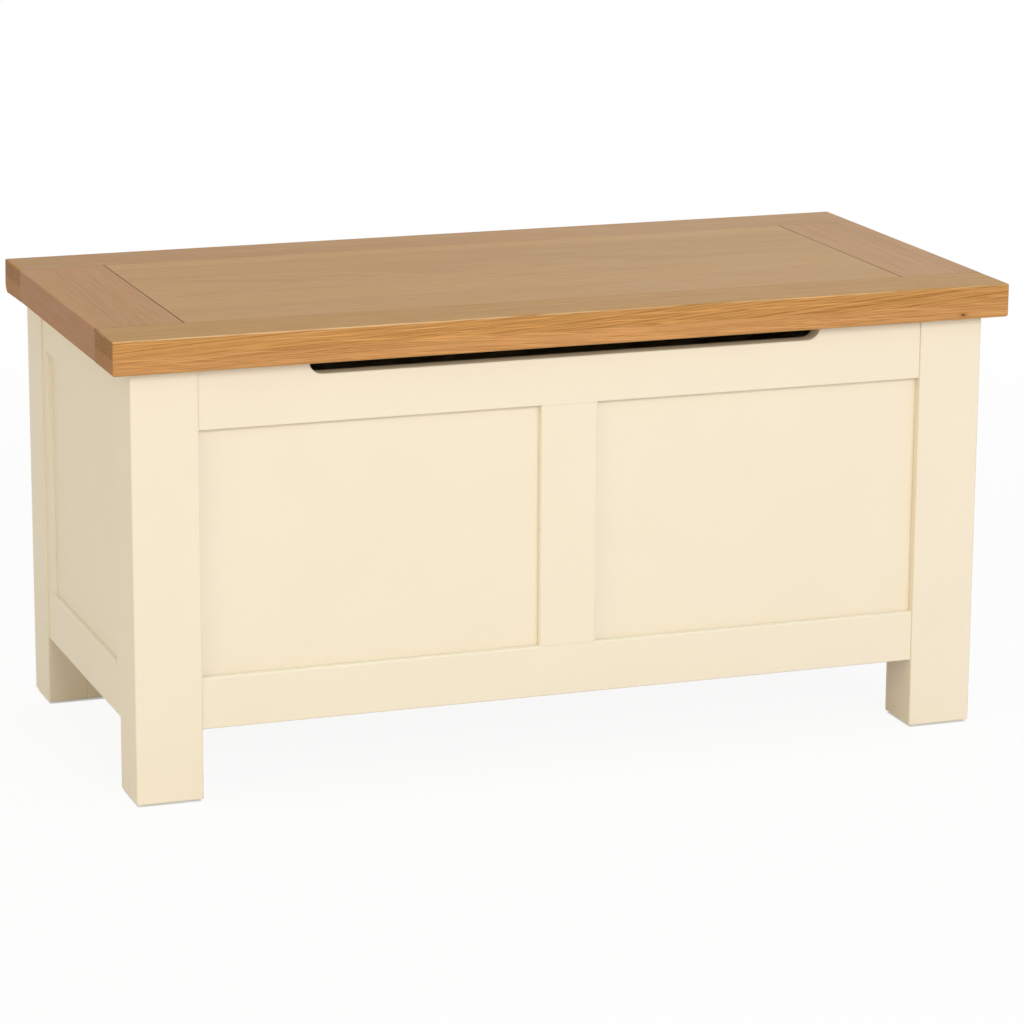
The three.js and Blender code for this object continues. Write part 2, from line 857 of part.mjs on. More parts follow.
for (const [sideName, side] of sides) {
  const lowerArm = stayGroup(carcass, footPivot);
  const upperArm = stayGroup(lid, lidPivot);
  const footRivet = stayRivet(side, footPivot, footPlateLayer, lowerArmLayer, true);
  const elbowRivet = stayRivet(side, elbowPivot, lowerArmLayer, upperArmLayer, false);
  const lidRivet = stayRivet(side, lidPivot, bracketEarLayer, upperArmLayer, false);
  put(carcass, `${sideName}_stay_foot_plate`, stayFootPlate(side), steel);
  put(carcass, `${sideName}_stay_foot_rivet`, footRivet, steel);
  put(lowerArm, `${sideName}_stay_lower_arm`, stayArm(side, lowerArmLayer, footPivot, elbowPivot), steel);
  put(lowerArm, `${sideName}_stay_elbow_rivet`, elbowRivet, steel);
  put(upperArm, `${sideName}_stay_upper_arm`, stayArm(side, upperArmLayer, lidPivot, elbowPivot), steel);
  put(lid, `${sideName}_stay_lid_bracket`, stayLidBracket(side), steel);
  put(lid, `${sideName}_stay_lid_rivet`, lidRivet, steel);
}

export default chest;
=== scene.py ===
"""Dresses the blanket chest: a cream painted frame under a solid oak lid, with its fittings and screws."""

import json
import logging
import math
from collections.abc import Sequence
from dataclasses import dataclass, field
from enum import Enum
from typing import ClassVar

import bmesh
import bpy
from mathutils import Matrix, Vector

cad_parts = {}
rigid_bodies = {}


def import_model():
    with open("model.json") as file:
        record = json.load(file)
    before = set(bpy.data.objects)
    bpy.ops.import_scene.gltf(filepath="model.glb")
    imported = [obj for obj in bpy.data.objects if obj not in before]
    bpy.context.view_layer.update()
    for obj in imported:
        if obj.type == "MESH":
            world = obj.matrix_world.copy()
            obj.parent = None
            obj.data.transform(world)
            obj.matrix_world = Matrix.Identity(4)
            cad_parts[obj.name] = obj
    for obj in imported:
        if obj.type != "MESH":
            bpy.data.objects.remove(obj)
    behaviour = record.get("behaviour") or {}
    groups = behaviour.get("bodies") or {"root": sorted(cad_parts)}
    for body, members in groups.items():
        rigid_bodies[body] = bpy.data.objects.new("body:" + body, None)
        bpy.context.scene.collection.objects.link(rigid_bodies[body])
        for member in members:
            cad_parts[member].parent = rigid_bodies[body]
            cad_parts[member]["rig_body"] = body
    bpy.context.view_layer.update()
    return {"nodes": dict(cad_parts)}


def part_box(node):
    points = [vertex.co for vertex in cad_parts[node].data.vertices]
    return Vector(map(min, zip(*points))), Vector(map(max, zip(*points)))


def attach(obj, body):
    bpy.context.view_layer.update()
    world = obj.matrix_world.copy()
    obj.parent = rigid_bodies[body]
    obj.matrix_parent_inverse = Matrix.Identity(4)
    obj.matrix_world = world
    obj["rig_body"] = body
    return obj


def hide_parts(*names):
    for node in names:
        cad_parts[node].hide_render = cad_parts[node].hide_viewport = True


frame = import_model()

log = logging.getLogger("blanket_chest")

# Sizes are in millimetres. In the studio they are in metres, but where its fields say otherwise.
MM = 0.001
PHOTO_PIXELS = 1024
SENSOR_WIDTH = 36.0

Numbers = tuple[float, ...]
Colour = tuple[float, float, float]
Point = tuple[float, float, float]
Range = tuple[float, float]
Socket = bpy.types.NodeSocket

UP: Point = (0.0, 0.0, 1.0)
DOWN: Point = (0.0, 0.0, -1.0)
ALONG: Point = (1.0, 0.0, 0.0)
WHITE: Colour = (1.0, 1.0, 1.0)

RISING: Range = (0.0, 1.0)
FADING: Range = (1.0, 0.0)
# The middle part of a random pattern, which lies around a half, from narrow to wide.
NARROW: Range = (0.3, 0.7)
MEDIUM: Range = (0.25, 0.75)
WIDE: Range = (0.2, 0.8)
# How far a surface's direction leans to an axis, from not at all to squarely.
SQUARE: Range = (0.6, 0.95)


class Axis(Enum):
    """The three directions of the chest, by their place in a coordinate."""

    X = 0
    Y = 1
    Z = 2

    @property
    def board_order(self) -> tuple[int, int, int]:
        """Which numbers run along, across and through a board whose grain follows this direction."""
        return ((0, 1, 2), (1, 0, 2), (2, 0, 1))[self.value]


class Slot(Enum):
    """The finishes that the record names."""

    PAINT = "paint"
    OAK = "oak"
    PLAIN_WOOD = "plain_wood"
    BRASS = "brass"
    STEEL = "steel"
    PLASTIC = "plastic"
    FELT = "felt"


class Body(Enum):
    """The bodies that move apart when the lid opens."""

    CHEST = "chest"
    LID = "lid"
    LEFT_LOWER_ARM = "left_lower_arm"
    RIGHT_LOWER_ARM = "right_lower_arm"
    LEFT_UPPER_ARM = "left_upper_arm"
    RIGHT_UPPER_ARM = "right_upper_arm"


class Side(Enum):
    """The two mirrored halves of the chest, by the sign of their X."""

    LEFT = -1
    RIGHT = 1

    @property
    def word(self) -> str:
        """The side's name as the CAD nodes spell it."""
        return self.name.lower()

    def of(self, faces: Range) -> Range:
        """A board's two faces on this side, from left to right."""
        return tuple(sorted(self.value * place for place in faces))


@dataclass(frozen=True)
class Signal:
    """What a shader node gives out: something that varies over a surface."""

    socket: Socket

    @property
    def tree(self) -> bpy.types.NodeTree:
        """The node tree that it belongs to."""
        return self.socket.id_data


Value = Signal | float | Numbers
Tint = Signal | Colour


def feed(target: Socket, value: Value) -> None:
    """Joins a signal to a node's input, or sets the input to a plain value.

    Args:
        target: The input.
        value: What goes in.
    """
    if isinstance(value, Signal):
        value.tree.links.new(value.socket, target)
    else:
        target.default_value = value


def add_node(tree: bpy.types.NodeTree, kind: str, *inputs: Value, **settings: object) -> bpy.types.Node:
    """Adds a node to a tree.

    Args:
        tree: The tree.
        kind: The node's type, without ShaderNode before it.
        *inputs: What goes into its first inputs.
        **settings: Properties set on the node.

    Returns:
        The new node.
    """
    node = tree.nodes.new("ShaderNode" + kind)
    for name, value in settings.items():
        setattr(node, name, value)
    for target, value in zip(node.inputs, inputs):
        feed(target, value)
    return node


def work(kind: str, *inputs: Value, **settings: object) -> bpy.types.Node:
    """Adds a node to the tree of the signals that go into it."""
    tree = next(value.tree for value in inputs if isinstance(value, Signal))
    return add_node(tree, kind, *inputs, **settings)


@dataclass(frozen=True)
class Number(Signal):
    """A number that varies over a surface, with the sums that nodes do."""

    def maths(self, operation: str, other: "Number | float" = 0.0, clamp: bool = False) -> "Number":
        """Does one of the Math node's operations, and may keep the result between 0 and 1."""
        return Number(work("Math", self, other, operation=operation, use_clamp=clamp).outputs[0])

    def __add__(self, other: "Number | float") -> "Number":
        """Adds another number."""
        return self.maths("ADD", other)

    def __sub__(self, other: "Number | float") -> "Number":
        """Takes another number away."""
        return self.maths("SUBTRACT", other)

    def __mul__(self, other: "Number | float") -> "Number":
        """Multiplies by another number."""
        return self.maths("MULTIPLY", other)

    def __truediv__(self, other: "Number | float") -> "Number":
        """Divides by another number."""
        return self.maths("DIVIDE", other)

    def __abs__(self) -> "Number":
        """Drops the sign."""
        return self.maths("ABSOLUTE")

    def eased(self, over: Range, to: Range = RISING) -> "Number":
        """Carries the number smoothly from one range to another, and holds it at the ends."""
        return Number(work("MapRange", self, *over, *to, interpolation_type="SMOOTHSTEP").outputs[0])

    def swing(self, reach: float, over: Range = WIDE) -> "Number":
        """Makes a random pattern swing as far to both sides of 0."""
        return self.eased(over, (-reach, reach))

    def step(self, direction: Point) -> "Place":
        """Makes the number a step in a direction."""
        return Place(work("VectorMath", self, direction, operation="MULTIPLY").outputs[0])

    def relief(self, strength: float, depth: float = 1.0) -> Signal:
        """Turns a height into the surface's direction; the depth is that of a height of 1.

        Args:
            strength: How much of it shows.
            depth: How high a height of 1 is.

        Returns:
            The surface's direction.
        """
        node = add_node(self.tree, "Bump", strength, depth * MM)
        feed(node.inputs["Height"], self)
        return Signal(node.outputs[0])


@dataclass(frozen=True)
class Place(Signal):
    """A place or a step that varies over a surface."""

    def __add__(self, step: "Place | Point") -> "Place":
        """Moves the place by a step."""
        return Place(work("VectorMath", self, step, operation="ADD").outputs[0])

    def __mul__(self, sizes: Point) -> "Place":
        """Stretches the place in its three directions."""
        return Place(work("VectorMath", self, sizes, operation="MULTIPLY").outputs[0])

    @property
    def length(self) -> Number:
        """How far it lies from the origin."""
        return Number(work("VectorMath", self, operation="LENGTH").outputs["Value"])

    @property
    def parts(self) -> tuple[Number, Number, Number]:
        """Its three numbers."""
        x, y, z = work("SeparateXYZ", self).outputs
        return Number(x), Number(y), Number(z)

    @property
    def facing(self) -> tuple[Number, Number, Number]:
        """The three numbers of the direction that the surface faces there."""
        return Place(add_node(self.tree, "TexCoord").outputs["Normal"]).parts

    def square_to(self, axis: Axis) -> Number:
        """Marks the faces that lie square to a direction, from 0 to 1."""
        return abs(self.facing[axis.value]).eased(SQUARE)

    def on_board(self, grain: Axis) -> "Place":
        """Puts its numbers in the order along, across and through a board."""
        parts = self.parts
        return Place(work("CombineXYZ", *(parts[number] for number in grain.board_order)).outputs[0])


def places(tree: bpy.types.NodeTree) -> Place:
    """The places on a piece, in millimetres."""
    return Place(add_node(tree, "TexCoord").outputs["Object"]) * ((1.0 / MM,) * 3)


def distance(*steps: Number) -> Number:
    """How far two steps that are square to each other lead together."""
    return Place(work("CombineXYZ", *steps).outputs[0]).length


def scaled(numbers: Numbers, by: float) -> Numbers:
    """A colour made lighter or darker, or other numbers made larger or smaller."""
    return tuple(number * by for number in numbers)


def mix(amount: Number | float, first: Tint, second: Tint, blend: str = "MIX") -> Signal:
    """Mixes two colours.

    Args:
        amount: How much of the second colour shows.
        first: The first colour.
        second: The second colour.
        blend: The name of the blend.

    Returns:
        The mixed colour.
    """
    tree = next(value.tree for value in (amount, first, second) if isinstance(value, Signal))
    node = add_node(tree, "Mix", amount, data_type="RGBA", blend_type=blend)
    targets = [socket for socket in node.inputs if socket.type == "RGBA"]
    for target, value in zip(targets, (first, second)):
        feed(target, (*value, 1.0) if isinstance(value, tuple) else value)
    return Signal(next(socket for socket in node.outputs if socket.type == "RGBA"))


@dataclass(frozen=True)
class Pattern:
    """A soft random pattern, around a half.

    Attributes:
        along: How many of its grains lie in a millimetre along the board.
        across: How many lie in a millimetre across it and through it.
        vary: How far each board's own seed moves it.
    """

    along: float
    across: float
    detail: float = 2.0
    shift: float = 0.0
    vary: float = 1.0
    way: ClassVar[Point] = (1.0, 1.7, 0.6)

    def over(self, where: Place, seed: float = 0.0) -> Number:
        """Lays the pattern over a piece.

        Args:
            where: The places on it.
            seed: The board's own seed.

        Returns:
            The pattern.
        """
        stretched = where * (self.along, self.across, self.across)
        placed = stretched + scaled(self.way, seed * self.vary + self.shift)
        noise = work("TexNoise", placed)
        feed(noise.inputs["Scale"], 1.0)
        feed(noise.inputs["Detail"], self.detail)
        return Number(noise.outputs[0])


MOTTLE = Pattern(0.011, 0.011, 3.0, 3.1)
SPRAY_PEEL = Pattern(0.55, 0.55, 2.0, 1.3)
PAINTED_GRAIN = Pattern(0.012, 0.42, 3.0, 7.7)
SWAY_ACROSS = Pattern(0.0015, 0.009, 1.0, vary=3.3)
SWAY_UP = Pattern(0.0015, 0.009, 1.0, 11.0, 5.9)
QUIVER = Pattern(0.006, 0.10, 2.0, 4.0, 2.1)
UNEVEN_YEARS = Pattern(0.35, 0.35, 1.0)
BANDS = Pattern(0.0016, 0.024, vary=7.0)
FIBRES = Pattern(0.016, 0.75, 4.0, vary=1.9)
STREAKS = Pattern(0.022, 0.30, vary=4.7)
PORES = Pattern(0.045, 1.25, 1.0, vary=8.3)
PALE_STREAKS = Pattern(0.010, 0.62, vary=6.1)
# Patches of the painted highlight on the lid's top front edge.
HIGHLIGHT_PATCHES = Pattern(0.022, 0.3, 3.0, 2.0)
BATTEN_WARP = Pattern(0.003, 0.02)
BATTEN_FIBRES = Pattern(0.02, 0.8, 4.0, vary=3.0)
CLOUDED_METAL = Pattern(0.12, 0.12, 3.0, 5.0)
BRUSHED_METAL = Pattern(0.12, 4.5, 3.0, 9.0)
FLOOR_DUST = Pattern(0.004, 0.004, 3.0)


class Finish:
    """A finish that makes its material once and then hands the same one out.

    Attributes:
        bumpiness: How much of the surface's relief shows.
    """

    name: str
    slot: Slot
    bumpiness: ClassVar[float] = 0.6

    def inputs(self, where: Place) -> dict[str, Value]:
        """Works out what goes into the shader at the places on a piece."""
        raise NotImplementedError

    def material(self) -> bpy.types.Material:
        """Makes the material on first use.

        Returns:
            The finish's material.
        """
        made = bpy.data.materials.get(self.name)
        if made is None:
            made = bpy.data.materials.new(self.name)
            made.use_nodes = True
            shader = next(n for n in made.node_tree.nodes if n.type == "BSDF_PRINCIPLED")
            for name, value in self.inputs(places(made.node_tree)).items():
                feed(shader.inputs[name], value)
        return made


@dataclass(frozen=True)
class CreamPaint(Finish):
    """Satin cream paint, sprayed in thin coats so that the wood's grain still shows faintly in the gloss.

    Attributes:
        face: The direction that the board's broad face looks in; its other faces get painted light and
            shade.
        reveal: The painted light on the narrow faces.
        ledge: The painted light on the narrow faces that look up.
        ledge_end: The heights between which that painted light ends.
        underside: The painted shade on the narrow faces that look down.
        glue_line: The place of a laminated leg's glue line along X, or none.
    """

    slot: ClassVar[Slot] = Slot.PAINT
    name: str
    grain: Axis
    face: Axis | None = None
    colour: Colour = (0.846, 0.753, 0.600)
    shade: Colour = (0.836, 0.743, 0.590)
    reveal: Colour = (0.885, 0.825, 0.690)
    ledge: Colour = (0.887, 0.858, 0.715)
    ledge_end: Range = (404.0, 408.0)
    underside: Colour = (0.62, 0.545, 0.42)
    roughness: Range = (0.45, 0.52)
    gloss: float = 0.32
    peel_depth: float = 0.035
    grain_depth: float = 0.05
    glue_line: float | None = None
    glue_line_shade: Colour = (0.70, 0.60, 0.44)
    glue_line_width: float = 0.7
    glue_line_amount: float = 0.8

    bumpiness: ClassVar[float] = 0.5
    thicker: ClassVar[Range] = (0.35, 0.7)
    looking_up: ClassVar[Range] = (0.3, 0.8)
    looking_down: ClassVar[Range] = (-0.8, -0.3)

    def edges(self, where: Place, face: Axis, colour: Signal) -> Signal:
        """Paints light on the board's narrow faces and low ledges, and shade on the faces that look down.

        Args:
            where: The places on the board.
            face: The direction that its broad face looks in.
            colour: The coat's colour.

        Returns:
            The colour with painted light and shade.
        """
        # Painted light on the narrow faces and on the low ledges that look up, and painted shade on the
        # faces that look down.
        facing, height = where.facing, where.parts[2]
        colour = mix(abs(facing[face.value]).eased(MEDIUM, FADING), colour, self.reveal)
        level = facing[2].eased(self.looking_up) * height.eased(self.ledge_end, FADING)
        colour = mix(level, colour, self.ledge)
        return mix(facing[2].eased(self.looking_down, FADING), colour, self.underside)

    def inputs(self, where: Place) -> dict[str, Value]:
        """Lays an even coat with a faint mottle, over spray peel and soft grain, with painted light and
        shade on the narrow faces.

        Args:
            where: The places on the board.

        Returns:
            What goes into the shader.
        """
        colour = mix(MOTTLE.over(where).eased(self.thicker), self.colour, self.shade)
        if self.glue_line is not None:
            away = abs(where.parts[0] - self.glue_line)
            line = away.eased((0.0, self.glue_line_width), (self.glue_line_amount, 0.0))
            colour = mix(line, colour, self.glue_line_shade)
        # Painted light and shade on the narrow faces, where the board has a broad face.
        if self.face is not None:
            colour = self.edges(where, self.face, colour)
        fibres = PAINTED_GRAIN.over(where.on_board(self.grain))
        height = fibres * self.grain_depth + SPRAY_PEEL.over(where) * self.peel_depth
        return {
            "Base Color": colour,
            "Roughness": fibres.eased(NARROW, self.roughness),
            "Specular IOR Level": self.gloss,
            "Normal": height.relief(self.bumpiness),
        }


@dataclass(frozen=True)
class Seam:
    """A fine joint where the lacquer has gathered and darkened.

    Attributes:
        axis: The direction square to the joint.
        width: How far the darkening reaches on either side.
        core: The part of its width that is fully dark.
    """

    axis: Axis
    place: float
    width: float
    amount: float
    core: float = 0.4
    colour: Colour = (0.14, 0.050, 0.012)

    def drawn(self, where: Place, colour: Signal) -> Signal:
        """Draws the joint over the wood's colour."""
        away = abs(where.parts[self.axis.value] - self.place)
        return mix(away.eased((self.width * self.core, self.width), (self.amount, 0.0)), colour, self.colour)


@dataclass(frozen=True)
class Knot:
    """A pin knot in a darker halo.

    Attributes:
        stretch: How it is drawn out along the board.
        core: Where it fades out, as parts of its radius.
        halo: Where the halo fades out.
    """

    centre: Point
    radius: float
    stretch: Point = (0.42, 1.0, 1.0)
    core: Range = (0.5, 1.0)
    halo: Range = (0.7, 3.0)
    core_amount: float = 0.9
    halo_amount: float = 0.45
    colour: Colour = (0.10, 0.035, 0.010)

    def drawn(self, where: Place, colour: Signal, dark: Colour) -> Signal:
        """Draws the knot over the wood's colour.

        Args:
            where: The places on the board.
            colour: The wood's colour.
            dark: The halo's tone.

        Returns:
            The colour with the knot.
        """
        away = ((where + scaled(self.centre, -1.0)) * self.stretch).length
        halo = away.eased(scaled(self.halo, self.radius), (self.halo_amount, 0.0))
        core = away.eased(scaled(self.core, self.radius), (self.core_amount, 0.0))
        return mix(core, mix(halo, colour, dark), self.colour)


@dataclass(frozen=True)
class Wear:
    """A painted highlight along a long edge, in patches, weaker on the right.

    Attributes:
        patches: The part of the pattern that makes the patches.
        middle: The stretch of X over which it grows weaker.
        right_share: How much of it is left on the right.
    """

    y: float
    z: float
    amount: float = 0.85
    reach: Range = (0.6, 1.5)
    patches: Range = (0.32, 0.56)
    middle: Range = (-250.0, 150.0)
    right_share: float = 0.5
    colour: Colour = (0.86, 0.66, 0.42)

    def drawn(self, where: Place, colour: Signal, seed: float) -> Signal:
        """Paints the highlight along the edge.

        Args:
            where: The places on the board.
            colour: The wood's colour.
            seed: The board's own seed.

        Returns:
            The colour with the painted highlight.
        """
        x, y, z = where.parts
        line = distance(y - self.y, z - self.z).eased(self.reach, (self.amount, 0.0))
        share = x.eased(self.middle, (1.0, self.right_share))
        patchy = HIGHLIGHT_PATCHES.over(where, seed).eased(self.patches)
        return mix(line * patchy * share, colour, self.colour)


@dataclass(frozen=True)
class SecondLayer:
    """The lower board of a rail that is glued up from two.

    Attributes:
        shift: How far along, across and up the tree it was cut from the upper board.
        lean: How far its rings climb in each millimetre along the board.
        calm: How far its colour keeps to the average.
        end_lift: How much lighter its end grain is.
        blur: How far the change reaches on either side.
    """

    top: float = 433.0
    shift: Point = (310.0, 70.0, -64.0)
    lean: float = 0.0
    tint: Colour = WHITE
    calm: float = 0.0
    end_lift: float = 1.0
    blur: float = 0.25

    def mask(self, board: Place) -> Number:
        """Marks the layer, from 0 to 1."""
        return board.parts[2].eased((self.top - self.blur, self.top + self.blur), FADING)

    def moved(self, board: Place, mask: Number) -> Place:
        """Moves the places in the layer to its own part of the tree."""
        climb = board.parts[0] * self.lean * mask
        return board + mask.step(self.shift) + climb.step(UP)

    def toned(self, colour: Signal, mask: Number, average: Colour) -> Signal:
        """Gives the layer its own tone."""
        tinted = mix(1.0, mix(self.calm, colour, average), self.tint, "MULTIPLY")
        return mix(mask, colour, tinted)


@dataclass(frozen=True)
class Oak(Finish):
    """Lacquered solid oak, cut from rings that run along the board.

    Attributes:
        heart: Where the middle of the tree lay, across and above the board.
        tilt: How far the middle drifts across and up in each millimetre along the board.
        deepest: How near to the dark tone the wood comes.
        sway: How far the rings wander.
        quiver: How far they tremble.
        calm: How far the level faces keep to the average tone.
        stave: The width of the glued staves across the board, or none.
        end_tint: How the end grain darkens the wood.
        flank_tint: Painted shade on the long upright edges; under_tint is painted shade on the faces that
            look down.
    """

    slot: ClassVar[Slot] = Slot.OAK
    name: str
    grain: Axis
    heart: Range
    tilt: Range
    ring: float
    seed: float
    light: Colour
    dark: Colour
    ring_amount: float
    band_amount: float
    gloss: float
    pore_amount: float = 0.35
    fibre_amount: float = 0.13
    pale_amount: float = 0.0
    deepest: float = 1.0
    sway: float = 4.5
    quiver: float = 0.7
    calm: float = 0.0
    stave: float | None = None
    layer: SecondLayer | None = None
    end_tint: Colour = (0.73, 0.735, 0.98)
    end_dullness: float = 0.28
    flank_tint: Colour = WHITE
    under_tint: Colour = WHITE
    roughness: Range = (0.42, 0.51)
    wear: Wear | None = None
    seams: tuple[Seam, ...] = ()
    knot: Knot | None = None

    early_wood: ClassVar[Range] = (0.0, 0.62)
    next_year: ClassVar[Range] = (0.90, 1.0)
    streak_spread: ClassVar[Range] = (0.2, 0.75)
    streak_share: ClassVar[Range] = (0.55, 1.25)
    pale_spread: ClassVar[Range] = (0.52, 0.70)
    pale_lift: ClassVar[float] = 1.35
    open_pores: ClassVar[Range] = (0.58, 0.72)
    late_wood_pores: ClassVar[Range] = (0.35, 1.0)
    pore_tone: ClassVar[float] = 0.45
    dark_share: ClassVar[float] = 0.33
    first_stave: ClassVar[float] = 50.37
    stave_jump: ClassVar[Point] = (1700.0, 46.0, 30.0)
    stave_share: ClassVar[Range] = (0.0, 0.16)
    stave_tone: ClassVar[float] = 0.8
    looking_down: ClassVar[Range] = (-0.95, -0.6)
    fibre_depth: ClassVar[float] = 0.05
    pore_depth: ClassVar[float] = -0.14

    @property
    def average(self) -> Colour:
        """The tone of the wood as a whole."""
        shares = (scaled(self.light, 1.0 - self.dark_share), scaled(self.dark, self.dark_share))
        return tuple(pale + deep for pale, deep in zip(*shares))

    def rings(self, board: Place) -> Number:
        """Works out the growth rings.

        Args:
            board: Places along, across and through the board.

        Returns:
            The lines of early wood, from 0 to 1.
        """
        length, across, up = board.parts
        side = across - self.heart[0] + length * self.tilt[0]
        rise = up - self.heart[1] + length * self.tilt[1]
        side += SWAY_ACROSS.over(board, self.seed).swing(self.sway)
        rise += SWAY_UP.over(board, self.seed).swing(self.sway)
        reach = distance(side, rise) + QUIVER.over(board, self.seed).swing(self.quiver)
        years = reach / self.ring
        years += UNEVEN_YEARS.over(years.step(ALONG), self.seed).swing(1.0)
        part = years.maths("FRACT")
        return part.eased(self.early_wood, FADING).maths("MAXIMUM", part.eased(self.next_year))

    def staves(self, board: Place, width: float) -> tuple[Place, Number]:
        """Cuts the board into staves, each from its own part of the tree.

        Args:
            board: Places along, across and through the board.
            width: The staves' width.

        Returns:
            The moved places, and each stave's own number from 0 to 1.
        """
        count = (board.parts[1] / width + self.first_stave).maths("FLOOR")
        drawn = add_node(board.tree, "TexWhiteNoise", noise_dimensions="1D")
        feed(drawn.inputs["W"], count + self.seed)
        own = Place(drawn.outputs["Color"])
        return board + own * self.stave_jump, own.parts[0]

    def wood(self, board: Place) -> tuple[Signal, Number, Number]:
        """Lays bands, rings, fibres and pores over each other.

        Args:
            board: Places along, across and through the board.

        Returns:
            The wood's colour, its fibres and its open pores.
        """
        line = self.rings(board)
        fibres = FIBRES.over(board, self.seed)
        streaks = STREAKS.over(board, self.seed).eased(self.streak_spread, self.streak_share)
        bands = BANDS.over(board, self.seed).swing(self.band_amount, MEDIUM)
        amount = line * self.ring_amount * streaks + bands
        amount = amount.maths("ADD", fibres.swing(self.fibre_amount, MEDIUM), clamp=True)
        colour = mix(amount.maths("MINIMUM", self.deepest), self.light, self.dark)
        if self.pale_amount:
            pale = PALE_STREAKS.over(board, self.seed).eased(self.pale_spread, (0.0, self.pale_amount))
            colour = mix(pale, colour, scaled(self.light, self.pale_lift))
        pores = PORES.over(board, self.seed).eased(self.open_pores, (0.0, self.pore_amount))
        pores *= line.eased(RISING, self.late_wood_pores)
        return mix(pores, colour, scaled(self.dark, self.pore_tone)), fibres, pores

    def ends(self, where: Place, colour: Signal, end_tint: Tint) -> Signal:
        """Darkens the end grain, where the pores drink the lacquer, and paints shade on the long flanks and
        on the faces that look down.

        Args:
            where: The places on the board.
            colour: The wood's colour.
            end_tint: The end grain's tone.

        Returns:
            The toned colour.
        """
        flank = Axis.Y if self.grain is Axis.X else Axis.X
        below = where.facing[2].eased(self.looking_down, FADING)
        colour = mix(where.square_to(self.grain), colour, end_tint, "MULTIPLY")
        # Painted shade on the long flanks and on the faces that look down.
        colour = mix(where.square_to(flank), colour, self.flank_tint, "MULTIPLY")
        return mix(below, colour, self.under_tint, "MULTIPLY")

    def inputs(self, where: Place) -> dict[str, Value]:
        """Grows the wood, then tones and marks it, with painted shade on some faces and a painted highlight
        on one edge.

        Args:
            where: The places on the board.

        Returns:
            What goes into the shader.
        """
        board = where.on_board(self.grain)
        if self.layer:
            mask = self.layer.mask(board)
            board = self.layer.moved(board, mask)
        if self.stave:
            board, stave = self.staves(board, self.stave)
        colour, fibres, pores = self.wood(board)
        end_tint: Tint = self.end_tint
        if self.calm:
            colour = mix(where.square_to(Axis.Z) * self.calm, colour, self.average)
        if self.stave:
            colour = mix(stave.eased(RISING, self.stave_share), colour, scaled(self.dark, self.stave_tone))
        if self.layer:
            colour = self.layer.toned(colour, mask, self.average)
            end_tint = mix(mask, self.end_tint, scaled(self.end_tint, self.layer.end_lift))
        # Painted highlight along the top front edge.
        if self.wear:
            colour = self.wear.drawn(where, colour, self.seed)
        for seam in self.seams:
            colour = seam.drawn(where, colour)
        # Darker end grain, and painted shade on the flanks and on the faces that look down.
        colour = self.ends(where, colour, end_tint)
        if self.knot:
            colour = self.knot.drawn(where, colour, self.dark)
        dull = where.square_to(self.grain) * self.end_dullness
        height = fibres * self.fibre_depth + pores * self.pore_depth
        return {
            "Base Color": colour,
            "Roughness": fibres.eased(NARROW, self.roughness) + dull,
            "Specular IOR Level": self.gloss,
            "Normal": height.relief(self.bumpiness),
        }


@dataclass(frozen=True)
class PlainWood(Finish):
    """Bare sanded wood inside the chest: plywood for the floor and softwood for the battens.

    Attributes:
        ply: The thickness of a ply, or none for solid wood.
        heart: How far below the board the middle of the tree lay.
    """

    slot: ClassVar[Slot] = Slot.PLAIN_WOOD
    name: str
    grain: Axis
    light: Colour
    dark: Colour
    ring: float
    seed: float
    ply: float | None = None
    roughness: float = 0.62
    heart: float = 60.0
    warp: float = 30.0

    ring_fade: ClassVar[Range] = (0.0, 0.9)
    ring_amount: ClassVar[float] = 0.35
    fibre_depth: ClassVar[float] = 0.08
    fibre_share: ClassVar[Range] = (-0.15, 0.3)
    ply_edge: ClassVar[Range] = (0.45, 0.55)
    ply_amount: ClassVar[float] = 0.5

    def inputs(self, where: Place) -> dict[str, Value]:
        """Lays wide soft rings under fibres, and the plies over a board's edges.

        Args:
            where: The places on the board.

        Returns:
            What goes into the shader.
        """
        board = where.on_board(self.grain)
        _, across, up = board.parts
        reach = distance(across + BATTEN_WARP.over(board, self.seed).swing(self.warp), up + self.heart)
        line = (reach / self.ring).maths("FRACT").eased(self.ring_fade, (0.0, self.ring_amount))
        fibres = BATTEN_FIBRES.over(board, self.seed)
        amount = line.maths("ADD", fibres.eased(MEDIUM, self.fibre_share), clamp=True)
        colour = mix(amount, self.light, self.dark)
        if self.ply:
            edge = abs(where.facing[2]).eased(NARROW, (self.ply_amount, 0.0))
            stripe = (up / (self.ply * 2.0)).maths("FRACT").eased(self.ply_edge)
            colour = mix(stripe * edge, colour, self.dark)
        return {
            "Base Color": colour,
            "Roughness": self.roughness,
            "Normal": fibres.relief(self.bumpiness, self.fibre_depth),
        }


@dataclass(frozen=True)
class Metal(Finish):
    """A plated or brushed metal with fine scratches and slightly uneven gloss.

    Attributes:
        brushing: How far the brushing changes the roughness.
    """

    name: str
    slot: Slot
    colour: Colour
    shade: Colour
    roughness: Range
    grain: Axis = Axis.X
    brushing: Range = (-0.05, 0.07)
    scratch_depth: float = 0.01

    def inputs(self, where: Place) -> dict[str, Value]:
        """Mixes two close tones, under hairline scratches.

        Args:
            where: The places on the piece.

        Returns:
            What goes into the shader.
        """
        cloud = CLOUDED_METAL.over(where)
        brushed = BRUSHED_METAL.over(where.on_board(self.grain))
        return {
            "Base Color": mix(cloud.eased(NARROW), self.colour, self.shade),
            "Metallic": 1.0,
            "Roughness": brushed.eased(NARROW, self.brushing) + cloud.eased(NARROW, self.roughness),
            "Normal": brushed.relief(self.bumpiness, self.scratch_depth),
        }


